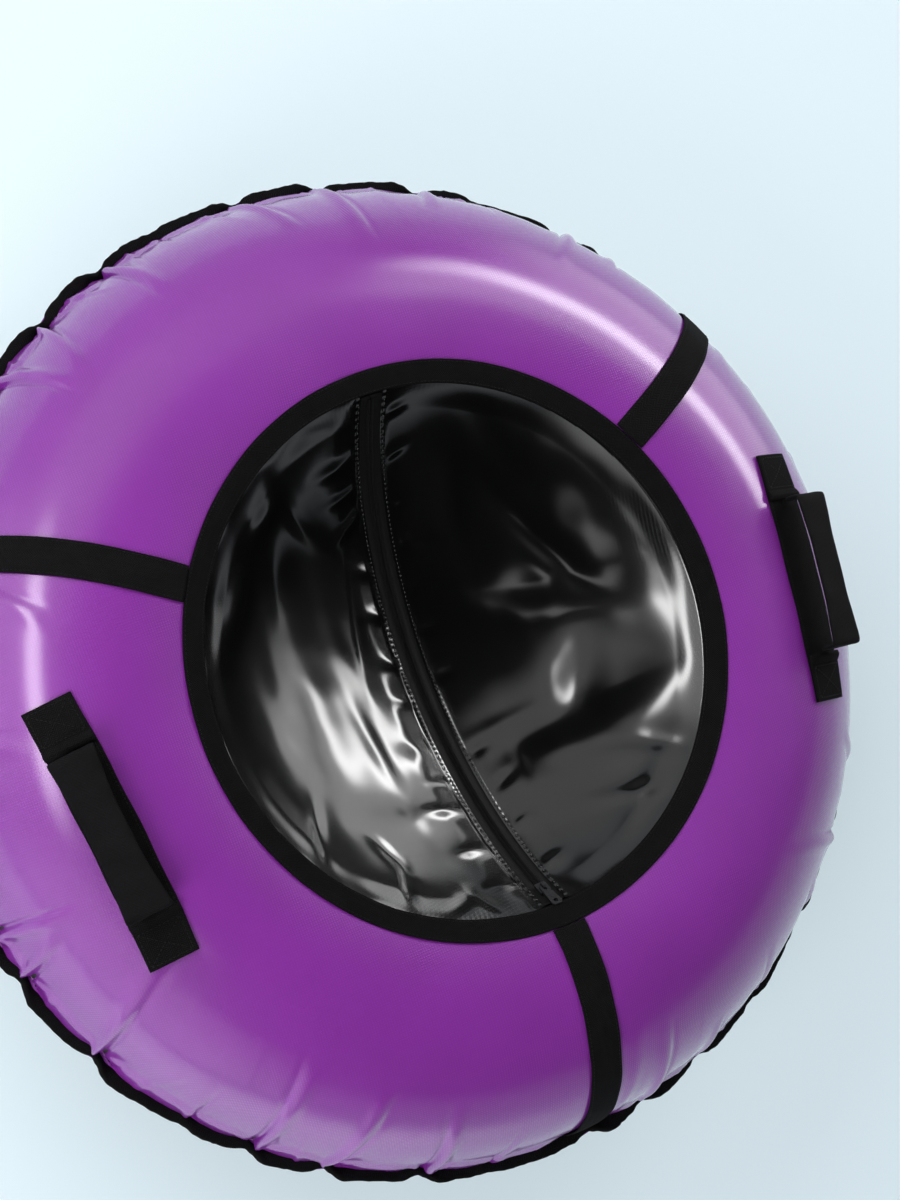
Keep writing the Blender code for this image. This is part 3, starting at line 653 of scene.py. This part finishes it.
def make_grip(name, azimuth):
    """The free part of the loop strap, and the sleeve folded over it."""
    foot = TAB_INNER - FIT - CORE_THICK / 2
    leg, top = TAB_INNER - FIT - HALF_SLEEVE, GRIP_RISE
    # Distance along the handle, height and half width, from one foot to the other
    stations = [(foot, 0.0033, 0.0050), (foot - 0.0004, top * 0.16, 0.0075),
                (leg, top * 0.30, END_HALF * 0.55), (leg, top * 0.52, END_HALF * 0.92),
                (leg, top * 0.84, END_HALF), (leg * 0.97, top * 0.975, END_HALF),
                (leg * 0.78, top, END_HALF * 0.94), (leg * 0.40, top * 1.015, MID_HALF),
                (0, top * 1.02, MID_HALF)]
    stations += [(-s, h, w) for s, h, w in reversed(stations[:-1])]
    inside = [(s, h, w - (0.0016 if w > 0.011 else 0)) for s, h, w in stations]
    strap, strap_length = wrapped(f"handle_{name}_grip_webbing", grip_ways(azimuth, inside, 120), "webbing",
                                  f"grip_{name}", 0, CORE_THICK / 2, 0)
    stands_for(strap, f"handle_{name}_grip_core")
    ways = grip_ways(azimuth, stations[2:-2], 110)
    sleeve, sleeve_length = wrapped(f"handle_{name}_grip_cloth", ways, "grip", f"grip_{name}", 0.06,
                                    HALF_SLEEVE, 0.0005)
    thick = sleeve.modifiers.new("cloth", "SOLIDIFY")
    thick.thickness = SLEEVE_THICK
    thick.offset = -1
    stands_for(sleeve, f"handle_{name}_grip_sleeve")


def make_handle(name):
    azimuth = radians(HANDLES[name])
    base = make_base(name, azimuth)
    for way in (1, -1):
        make_tab(name, azimuth, way)
    make_grip(name, azimuth)


# Seat

# Folds of the seat cloth, in millimetres and degrees: middle in plan, half length, half width, turn
# and height
SOFT_FOLDS = (
    # Puffs where the hem is drawn up beside the zip, from rear to front
    (-68, 242, 16, 4.5, 0, 1.4), (-36, 208, 24, 6, 10, 2.2), (-31, 180, 19, 5, 8, 1.8),
    (-32, 152, 21, 6, 25, 2), (-24, 104, 12, 6, -15, 1.8), (-24, 60, 14, 7, -20, 2.4),
    (-24, 10, 14, 8, -25, 2.4), (-25, -30, 13, 7, -20, 2), (-34, -78, 19, 11.5, -25, 2.4),
    (-26, -118, 14, 5, -10, 1.6), (-38, -148, 25, 6, -12, 2.4), (-34, -192, 22, 6.2, -8, 2.2),
    (-33, -229, 18, 6, -5, 2), (26, 238, 11, 4.5, 15, 1.6), (26, 203, 13, 5, 20, 1.7),
    (24, 160, 10, 5.5, 20, 1.4), (25, 118, 11, 6, 15, 1.5), (24, 74, 10, 6, 10, 1.4),
    (25, 30, 11, 6, 12, 1.5), (26, -18, 12, 6.5, 10, 1.6), (60, -86, 40, 9, 5, -1.8),
    (26, -100, 12, 6, 12, 1.6), (36, -137, 14, 5.5, 20, 1.9), (28, -180, 14, 5.5, 15, 1.7),
    (28, -222, 14, 5.5, 15, 1.7),
    # Long folds of the left half
    (-203, 105, 50, 15, 52, 4.2), (-130, 120, 45, 20, 88, -5.2), (-97, 176, 40, 10, -55, -3.8),
    (-137, 182, 25, 11, 40, 3.4), (-50, 67, 55, 7, 80, -2), (-84, -70, 55, 10, -82, 1.5),
    (-194, -125, 30, 8, 71, -2.4), (-128, -165, 22, 7, -65, -2.1), (-130, -198, 22, 6.5, 62, -2.1),
    (-88, -229, 22, 6.5, 10, -2.1), (-60, -238, 18, 5.5, -55, -1.8),
    # Long folds of the right half
    (58, -130, 16, 7, 85, 1.7), (130, -150, 50, 11, -12, 2.2), (150, -186, 60, 10, 40, 2.2),
    (150, -68, 48, 24, 66, 7), (140, -192, 40, 8.5, -10, 2.2), (182, -160, 36, 9.5, -38, -2.2),
    (120, 190, 55, 13, -60, 1.8), (153, 80, 80, 13, -61, 3), (42, 118, 18, 9, -25, 3),
    (240, 60, 40, 8, -80, 1.6),
)
# A broad one with a sharp crest, on the left
SHARP_FOLDS = ((-80, -146, 85, 34, -10, 4.2),)


def wrinkles(x, y, beside):
    """Uneven cloth, with long wrinkles along the zip on the left and across from it on the right."""
    lift = 0.0008 * waves(x + 0.3 * (x > 0), y, 0.17, 8, 5)
    lift = lift + 0.00014 * waves(x, y + 0.4 * (x > 0), 0.045, 9, 8)
    lift = lift + np.where(x < 0, 0.0008 * waves(x, 0.35 * y, 0.075, 6, 31),
                           0.0004 * waves(0.4 * x, y, 0.09, 6, 33))
    # Streaks that run beside the zip, strongest on its left
    streaks = hump((beside - 0.045) / 0.035) * hump(((y + 0.03) / 0.11) ** 2) * (x < 0)
    wander = x * 210 + 3 * np.sin(y * 11) + 2 * waves(x, y, 0.2, 3, 14)
    uneven = 0.5 + 0.5 * waves(x, y * 0.5, 0.09, 5, 15)
    return lift + (0.00006 + 0.00018 * streaks) * np.sin(wander) * uneven


def right_drape(x, y, radius, inside):
    """The right half is pulled flat behind a line, and hangs over a long steep fold in front of it."""
    front = y + 0.108 - 0.17 * (x - 0.06)
    over = hump(front / np.where(front < 0, 0.022, 0.050))
    fold = 0.0090 * over * smooth_step((x - 0.012) / 0.065) * smooth_step(inside / 0.060)
    behind = smooth_step((y - 0.003 + 0.15 * (x - 0.03)) / 0.055) * smooth_step((x - 0.025) / 0.06)
    return fold + 0.0100 * smooth_step((radius - 0.05) / 0.10) * smooth_step(inside / 0.085) * behind


def left_dome(x, y, beside):
    """The left half is drawn nearly straight from the zip to the ring."""
    chord = np.sqrt(np.clip(SEAT_EDGE ** 2 - y * y, 1e-6, None)) - ZIP_HALF
    share = np.clip(beside / chord, 0, 1)
    return (x < 0) * 0.0136 * (chord / SEAT_EDGE) ** 2 * 4 * share * (1 - share) * (1.4 - 0.8 * share)


def ring_puckers(x, y, inside):
    """The cloth leaves the ring flatter than the bowl, with small puckers at the stitches."""
    arc = np.arctan2(y, x) * SEAT_EDGE
    pucker = 1 + 0.22 * np.sin(arc / 0.0008) * np.exp(-inside / 0.003)
    pucker = pucker + 0.35 * np.sin(arc / 0.016) + 0.25 * np.sin(arc / 0.007 + 2)
    height = np.where(x < 0, 0.0014, 0.0003)
    return height * pucker * (1 - np.exp(-inside / 0.0040)) * np.exp(-inside / 0.014)


def seat_lift(x, y):
    """How far the seat cloth stands off its bowl."""
    radius = np.hypot(x, y)
    inside = np.clip(SEAT_EDGE - radius, 0, None)
    beside = np.abs(x) - ZIP_HALF
    lift = wrinkles(x, y, beside) + right_drape(x, y, radius, inside)
    # The zip lies in a shallow valley, deeper on its left.
    lift = lift + np.where(x < 0, 0.0026, 0.0018) * smooth_step((beside - 0.005) / 0.030)
    for folds, power in ((SOFT_FOLDS, 1), (SHARP_FOLDS, 0.5)):
        for at_x, at_y, length, width, turn, height in folds:
            c, s = cos(radians(turn)), sin(radians(turn))
            off_x, off_y = 1000 * x - at_x, 1000 * y - at_y
            along, across = off_x * c + off_y * s, off_y * c - off_x * s
            away = (along / length) ** 2 + (across / width) ** 2
            lift = lift + 0.001 * height * np.exp(-(away + 0.015) ** power) * (x * at_x > 0)
    return lift * smooth_step(inside / 0.018) + left_dome(x, y, beside) + ring_puckers(x, y, inside)


def bowl_points(x, y, lift):
    """Points of the seat's bowl raised along its normal."""
    fall = np.sqrt(SEAT_RADIUS ** 2 - x * x - y * y)
    share = 1 - lift / SEAT_RADIUS
    return stack(x * share, y * share, SEAT_CENTRE - fall * share)


def make_seat():
    for name, way in (("right", 1), ("left", -1)):
        def spread(columns, rows):
            """Plan place of a share along the ring and a share from the zip's hem out to the ring."""
            azimuth = radians(-85) + radians(170) * rows
            y = SEAT_EDGE * np.sin(azimuth)
            rim = SEAT_EDGE * np.cos(azimuth) + 0.0055
            t = columns - 0.05 * np.sin(2 * pi * columns)
            return ZIP_HALF + (rim - ZIP_HALF) * t, y

        def place(columns, rows):
            x, y = spread(columns, rows)
            hem = smooth_step((x - ZIP_HALF) / 0.0022) * (1 - smooth_step((x - ZIP_HALF - 0.0040) / 0.0014))
            gathers = (0.0005 if way > 0 else 0.0006) * (0.6 + 0.4 * np.sin(y * 1250 + 2 * np.sin(y * 95)))
            lift = seat_lift(way * x, y) * smooth_step((x - ZIP_HALF) / 0.012) + gathers * hem
            points = bowl_points(way * x, y, lift)
            beyond = np.hypot(x, y) - SEAT_EDGE
            angle = RING_END - np.clip(beyond, 0, None) / TUBE * 1.05
            tucked = on_circle(RING + (TUBE - 0.0003) * np.cos(angle), np.arctan2(y, way * x),
                               MIDDLE + (TUBE - 0.0003) * np.sin(angle))
            return np.where(beyond[:, None] > 0, tucked, points)

        def flat(columns, rows):
            x, y = spread(columns, rows)
            return stack(way * x * 1.05, y * 1.08)

        bm = sheet_grid(190, 500, place, flat)
        bmesh.ops.recalc_face_normals(bm, faces=bm.faces)
        cloth = object_from(f"seat_cloth_{name}", bm, "seat")
        stands_for(cloth, f"seat_panel_{name}")

        def hem_top(x, y):
            place = Vector(bowl_points(way * x, y, 0.0011))
            return place, (Vector((0, 0, SEAT_CENTRE)) - place).normalized()

        end = SEAT_EDGE - 0.006
        line = run_between(((ZIP_HALF + 0.0024, -end), (ZIP_HALF + 0.0024, end)), hem_top, STITCH_STEP)
        thread = stitching(f"seat_thread_{name}", line, "shiny_thread", 0.0031, 0.0013)


# Zip

def zip_point(x, angle, drop):
    reach = sqrt((SEAT_RADIUS + drop) ** 2 - x * x)
    return Vector((x, reach * sin(angle), SEAT_CENTRE - reach * cos(angle)))


def make_zip():
    end = asin(SEAT_EDGE / SEAT_RADIUS) * 0.985
    length = 2 * end * SEAT_RADIUS
    for name, way in (("right", 1), ("left", -1)):
        def at(share, across, up):
            x = way * (0.00830 + across)
            return zip_point(x, end * (2 * share - 1), 0.0024 - up)

        tape = band(f"zip_tape_{name}_woven", 240, 20, at, ZIP_TAPE_WIDTH, ZIP_TAPE_THICK, length, "zip_tape")
        stands_for(tape, f"zip_tape_{name}")

        matrices = []
        for i in range(int(length * 0.995 / TOOTH_PITCH)):
            angle = -end + (i + 0.5 + 0.5 * (way > 0)) * TOOTH_PITCH / SEAT_RADIUS
            ahead = Vector((0, cos(angle), sin(angle)))
            up = Vector((0, -sin(angle), cos(angle)))
            matrices.append(standing(zip_point(way * 0.00200, angle, 0.0002), Vector((0.00215, 0, 0)),
                                     ahead * 0.00054, up * 0.00098))
        teeth = copies(f"zip_teeth_{name}",
                       lambda bm: bmesh.ops.create_uvsphere(bm, u_segments=8, v_segments=5, radius=1),
                       matrices, "zip_teeth")
        stands_for(teeth, f"zip_coil_{name}")

    for node in ("zip_slider", "zip_pull"):
        dress(node, "metal", "dark_metal", 0.00022)


# Inner tube and valve

def make_inner():
    across, up = -RING, SEAT_CENTRE - MIDDLE
    facing, away = atan2(up, across), hypot(across, up)
    # Where the ring meets the seat, it is pressed flat.
    flat = away - SEAT_RADIUS - 0.0010 - 0.0056
    full = TUBE - 0.0012 - 1.5 * FIT
    bm = bmesh.new()
    corners = []
    for i in range(72):
        angle = 2 * pi * i / 72
        reach = full
        if cos(angle - facing) > 0:
            reach = min(full, flat / cos(angle - facing))
        # Two mould lines
        reach += 0.0005 if i % 36 == 2 else 0
        corners.append(bm.verts.new((RING + reach * cos(angle), 0, MIDDLE + reach * sin(angle))))
    edges = [bm.edges.new(pair) for pair in zip(corners, corners[1:] + corners[:1])]
    bmesh.ops.spin(bm, geom=corners + edges, cent=(0, 0, 0), axis=(0, 0, 1), angle=2 * pi, steps=160,
                   use_merge=True)
    rubber = object_from("inner_tube_rubber", joined(bm), "rubber")
    stands_for(rubber, "inner_tube")
    for node, look, slot in (("valve_stem", "rubber", "rubber_black"), ("valve_tip", "brass", "valve_brass"),
                             ("valve_core", "brass", "valve_brass"), ("valve_cap", "cap", "cap_plastic")):
        dress(node, look, slot, 0.0002)


# Surfaces

class Nodes:
    """Short ways to add and join the nodes of a tree."""

    def __init__(self, tree):
        self.tree = tree

    def add(self, kind, *inputs, out=0, **settings):
        """A node with its first inputs set or joined; gives its output."""
        node = self.tree.nodes.new(kind)
        for key, value in settings.items():
            setattr(node, key, value)
        for socket, value in zip(node.inputs, inputs):
            self.put(socket, value)
        return node.outputs[out]

    def put(self, socket, value):
        if isinstance(value, bpy.types.NodeSocket):
            self.tree.links.new(value, socket)
        elif value is not None:
            socket.default_value = value

    def sums(self, operation, a, b=None):
        return self.add("ShaderNodeMath", a, b, operation=operation)

    def between(self, value, low, high, to_low, to_high, **settings):
        return self.add("ShaderNodeMapRange", value, low, high, to_low, to_high, **settings)

    def background(self, colour, strength):
        return self.add("ShaderNodeBackground", (*colour, 1), strength)

    def mixed(self, share, first, second):
        return self.add("ShaderNodeMixShader", share, first, second)


class Surface(Nodes):
    """A material built up from nodes."""

    def __init__(self, name, colour, roughness, metallic=0.0, coat=0.0, coat_roughness=0.2, specular=0.5):
        self.material = bpy.data.materials.new(name)
        self.material.use_nodes = True
        super().__init__(self.material.node_tree)
        self.shader = self.tree.nodes["Principled BSDF"]
        for socket, value in (("Base Color", (*colour, 1)), ("Roughness", roughness), ("Metallic", metallic),
                              ("Coat Weight", coat), ("Coat Roughness", coat_roughness),
                              ("Specular IOR Level", specular)):
            self.shader.inputs[socket].default_value = value
        self.colour, self.heights = colour, None

    def cloth(self):
        """The two flat directions of the cloth, in metres."""
        place = self.add("ShaderNodeUVMap", uv_map="cloth")
        node = self.tree.nodes.new("ShaderNodeSeparateXYZ")
        self.put(node.inputs[0], place)
        return place, node.outputs[0], node.outputs[1]

    def threads(self, along, pitch):
        """A rounded wave of 0 to 1 across threads of a pitch."""
        wave = self.sums("SINE", self.sums("MULTIPLY", along, 2 * pi / pitch))
        return self.sums("MULTIPLY_ADD", wave, 0.5)

    def noise(self, place, scale, detail=3.0):
        return self.add("ShaderNodeTexNoise", place, None, scale, detail)

    def tint(self, value, dark, light):
        """Shades the colour from a dark to a light share of it as the value goes from 0 to 1."""
        ends = [(*(part * share for part in self.colour), 1) for share in (dark, light)]
        mixed = self.add("ShaderNodeMix", value, *[None] * 5, *ends, out=2, data_type="RGBA")
        self.put(self.shader.inputs["Base Color"], mixed)

    def rough(self, value, low, high):
        """Roughness from low to high over the middle range of a noise."""
        self.put(self.shader.inputs["Roughness"], self.between(value, 0.3, 0.7, low, high))

    def bump(self, height, distance, strength=1.0):
        """Raises the surface by a height; each call adds to those before it."""
        node = self.tree.nodes.new("ShaderNodeBump")
        node.inputs["Strength"].default_value = strength
        node.inputs["Distance"].default_value = distance
        self.put(node.inputs["Height"], height)
        if self.heights is not None:
            self.put(node.inputs["Normal"], self.heights)
        self.heights = node.outputs[0]
        self.put(self.shader.inputs["Normal"], self.heights)


def coated_cloth(name, colour, roughness, pitch, depth, coat, coat_roughness, mottle, uneven=6,
                 specular=0.4, coat_ior=1.5):
    """Cloth with a plastic coat: the threads show through it as a fine square grid."""
    look = Surface(name, colour, roughness, coat=coat, coat_roughness=coat_roughness, specular=specular)
    look.shader.inputs["Coat IOR"].default_value = coat_ior
    place, along, across = look.cloth()
    warp, weft = look.threads(along, pitch), look.threads(across, pitch)
    squares = look.sums("MULTIPLY", warp, weft)
    broad = look.between(look.noise(place, 9.0, 3.0), 0.3, 0.7, 0, 1)
    tone = look.sums("ADD", look.sums("MULTIPLY", broad, 0.4), look.sums("MULTIPLY", squares, 0.6))
    look.tint(tone, 1 - mottle, 1 + mottle)
    look.rough(look.noise(place, 260.0, 2.0), roughness * 0.88, roughness * 1.12)
    look.bump(squares, depth)
    look.bump(look.noise(place, 30.0, 4.0), depth * uneven, 0.35)
    return look.material


def webbing_cloth(name, colour, roughness, pitch, depth, diagonal):
    """Heavy weave: ribs that lean one way and the other in stripes, as in herringbone."""
    look = Surface(name, colour, roughness, specular=0.05)
    place, along, across = look.cloth()
    stripe = look.sums("PINGPONG", across, diagonal)
    slant = look.sums("ADD", along, look.sums("MULTIPLY", stripe, 1.1))
    ribs = look.threads(slant, pitch)
    rows = look.threads(across, pitch * 0.5)
    weave = look.sums("ADD", look.sums("MULTIPLY", rows, 0.3), ribs)
    fuzz = look.noise(place, 900.0, 2.0)
    worn = look.noise(place, 60.0, 3.0)
    tone = look.sums("MULTIPLY", look.sums("MULTIPLY", ribs, fuzz), look.between(worn, 0.3, 0.7, 1.2, 2.0))
    look.tint(tone, 0.45, 2.0)
    look.rough(fuzz, roughness * 0.92, min(1, roughness * 1.08))
    look.bump(weave, depth)
    look.bump(fuzz, depth * 0.5, 0.5)
    return look.material


def plain_stuff(name, colour, roughness, scale, depth, metallic=0.0, specular=0.5):
    """A solid material with faint unevenness."""
    look = Surface(name, colour, roughness, metallic=metallic, specular=specular)
    grain = look.noise(look.add("ShaderNodeTexCoord", out="Object"), scale, 4.0)
    look.tint(look.between(grain, 0.35, 0.65, 0, 1), 0.85, 1.15)
    look.rough(grain, roughness * 0.85, roughness * 1.15)
    look.bump(grain, depth, 0.4)
    return look.material


def zip_tape_cloth():
    """Fine ribs that run along the tape."""
    look = Surface("zip tape", (0.006, 0.006, 0.0065), 0.6, specular=0.15)
    place, along, across = look.cloth()
    ribs = look.threads(across, 0.0013)
    knit = look.threads(along, 0.0010)
    look.bump(look.sums("ADD", ribs, look.sums("MULTIPLY", knit, 0.4)), 0.00018)
    fuzz = look.noise(place, 1100.0, 2.0)
    look.tint(fuzz, 0.6, 1.6)
    look.rough(fuzz, 0.5, 0.7)
    return look.material


LOOKS = {
    "purple": coated_cloth("purple coated cloth", (0.225, 0.023, 0.315), 0.42, 0.0025, 0.00024, 1.0,
                           0.17, 0.12, specular=0.22),
    "bottom": coated_cloth("black bottom cloth", (0.008, 0.008, 0.009), 0.40, 0.0025, 0.00016, 0.2,
                           0.3, 0.10),
    "seat": coated_cloth("black seat cloth", (0.0012, 0.0012, 0.0013), 0.24, 0.0026, 0.00024, 1.0,
                         0.14, 0.2, uneven=2, specular=0.10, coat_ior=1.68),
    "webbing": webbing_cloth("black webbing", (0.0056, 0.0052, 0.0056), 0.85, 0.0024, 0.00034, 0.0042),
    "twill": webbing_cloth("black twill tape", (0.0050, 0.0046, 0.0050), 0.88, 0.0021, 0.00036, 0.0036),
    "grip": webbing_cloth("black grip cloth", (0.0060, 0.0056, 0.0061), 0.78, 0.0013, 0.00012, 0.05),
    "zip_tape": zip_tape_cloth(),
    "zip_teeth": plain_stuff("zip nylon", (0.007, 0.007, 0.0075), 0.6, 600.0, 0.00005, specular=0.1),
    "thread": plain_stuff("black thread", (0.005, 0.005, 0.0055), 0.6, 900.0, 0.0001, specular=0.15),
    "shiny_thread": plain_stuff("black shiny thread", (0.03, 0.03, 0.031), 0.22, 900.0, 0.0001),
    "metal": plain_stuff("dark plated metal", (0.08, 0.08, 0.085), 0.32, 400.0, 0.00004, metallic=0.9),
    "rubber": plain_stuff("inner rubber", (0.015, 0.015, 0.015), 0.7, 60.0, 0.0003),
    "brass": plain_stuff("valve brass", (0.62, 0.45, 0.18), 0.3, 500.0, 0.00004, metallic=1.0),
    "cap": plain_stuff("cap plastic", (0.015, 0.015, 0.015), 0.5, 400.0, 0.00005),
}


# Floor, light and camera

def soften(lamp):
    """Lets a card fade out towards its edges."""
    lamp.use_nodes = True
    nodes = Nodes(lamp.node_tree)
    place = nodes.tree.nodes.new("ShaderNodeSeparateXYZ")
    nodes.put(place.inputs[0], nodes.add("ShaderNodeNewGeometry", out="Parametric"))
    fades = [nodes.between(nodes.sums("PINGPONG", place.outputs[part], 0.5), 0, 0.34, 0, 1,
                           interpolation_type="SMOOTHSTEP") for part in range(2)]
    nodes.put(nodes.tree.nodes["Emission"].inputs["Strength"], nodes.sums("MULTIPLY", *fades))


def panel(name, shows, azimuth, elevation, distance, width, height, brightness, roll=0):
    """A flat lamp that faces the middle of the tube: a "lamp" lights it, a "card" only shows in its gloss."""
    lamp = bpy.data.lights.new(name, "AREA")
    lamp.shape = "RECTANGLE"
    lamp.size, lamp.size_y = width, height
    lamp.energy = brightness * pi * width * height
    thing = linked(name, lamp)
    turn, rise = radians(azimuth), radians(elevation)
    away = Vector((cos(rise) * cos(turn), cos(rise) * sin(turn), sin(rise)))
    thing.location = Vector((0, 0, 0.2)) + away * distance
    thing.rotation_mode = "QUATERNION"
    thing.rotation_quaternion = away.to_track_quat("Z", "Y") @ Quaternion((0, 0, 1), radians(roll))
    thing.visible_camera = False
    thing.visible_diffuse = shows == "lamp"
    thing.visible_glossy = shows == "card"
    if shows == "card":
        soften(lamp)
    return thing


def make_floor():
    mesh = mesh_from("floor", grid(1, 1, 30))
    # Just under the tube, so that the two faces never lie in one plane
    mesh.transform(Matrix.Translation((0, 0, -0.0006)))
    look = Surface("pale floor", (0.48, 0.56, 0.60), 0.9, specular=0.1)
    path = look.tree.nodes.new("ShaderNodeLightPath").outputs
    shown = look.sums("MAXIMUM", look.sums("MAXIMUM", path["Is Camera Ray"], path["Is Glossy Ray"]),
                      path["Is Transmission Ray"])
    look.put(look.shader.inputs["Emission Strength"], look.sums("MULTIPLY", shown, 0.43))
    look.shader.inputs["Emission Color"].default_value = (0.74, 0.86, 0.92, 1)
    mesh.materials.append(look.material)
    linked("floor", mesh)


def make_world():
    world = bpy.data.worlds.new("studio")
    bpy.context.scene.world = world
    world.use_nodes = True
    nodes = Nodes(world.node_tree)
    nodes.tree.nodes.clear()
    path = nodes.tree.nodes.new("ShaderNodeLightPath").outputs
    # The gloss sees a white cove low down and a dark studio above it.
    rise = nodes.add("ShaderNodeSeparateXYZ", nodes.add("ShaderNodeTexCoord", out="Generated"), out=2)
    dark = nodes.background((0.9, 0.95, 1.0), nodes.between(rise, 0.12, 0.32, 0.55, 0.014))
    room = nodes.background((0.95, 0.97, 1.0), 0.36)
    unseen = nodes.mixed(path["Is Glossy Ray"], room, dark)
    # The camera, and clear or clear-coated things, see a pale room.
    pale = nodes.background((0.82, 0.92, 0.98), 0.9)
    either = nodes.sums("MAXIMUM", path["Is Camera Ray"], path["Is Transmission Ray"])
    out = nodes.tree.nodes.new("ShaderNodeOutputWorld")
    nodes.put(out.inputs[0], nodes.mixed(either, unseen, pale))


# Azimuth, elevation, distance, width, height, brightness and roll of each flat lamp and card
LAMPS = {"key lamp": (30, 40, 2.6, 1.2, 1.2, 3.4), "back lamp": (120, 36, 3.0, 2.6, 1.6, 4.5),
         "front lamp": (205, 32, 2.6, 1.3, 1.3, 6.0)}
CARDS = {"right strip": (24, 31, 2.6, 3.1, 0.60, 12, 8), "right glow": (34, 38, 2.6, 2.2, 1.6, 2.4, 10),
         "right wall": (17, 13, 2.9, 3.8, 2.5, 2.1), "left strip": (159, 34, 2.6, 2.7, 0.60, 12),
         "left wall": (154, 18, 2.9, 3.4, 3.0, 1.6), "front wall": (212, 11, 2.9, 4.6, 2.6, 1.2),
         "back wall": (98, 38, 3.2, 5.6, 4.0, 0.7), "top card": (-150, 54, 2.6, 1.1, 0.5, 1.3)}


def make_lights():
    for name, values in LAMPS.items():
        panel(name, "lamp", *values)
    for name, values in CARDS.items():
        panel(name, "card", *values)
    # A pale card that lies on the floor in front, face up
    card = panel("floor card", "card", 225, 0, 1.35, 1.7, 3.0, 1.1)
    card.location.z = 0.004
    card.rotation_quaternion = Quaternion((0, 0, 1), radians(225)) @ Quaternion((1, 0, 0), pi)


def make_camera():
    """The camera as it was fitted to the photograph."""
    camera = linked("camera", bpy.data.cameras.new("camera"))
    camera.data.lens = 74.17
    camera.data.sensor_width = 36
    camera.location = (-0.9595, -0.0085, 2.4556)
    camera.rotation_mode = "QUATERNION"
    turn = Matrix(((0.86038, 0.30144, -0.41094), (-0.34053, 0.93994, -0.02348), (0.37918, 0.16014, 0.91136)))
    camera.rotation_quaternion = turn.to_quaternion()
    bpy.context.scene.camera = camera
    bpy.context.scene.view_settings.view_transform = "Standard"


def main():
    make_inner()
    make_top()
    make_bottom()
    make_ring_tape()
    make_seat()
    make_zip()
    make_binding()
    make_straps()
    for name in HANDLES:
        make_handle(name)
    make_floor()
    make_world()
    make_lights()
    make_camera()


main()
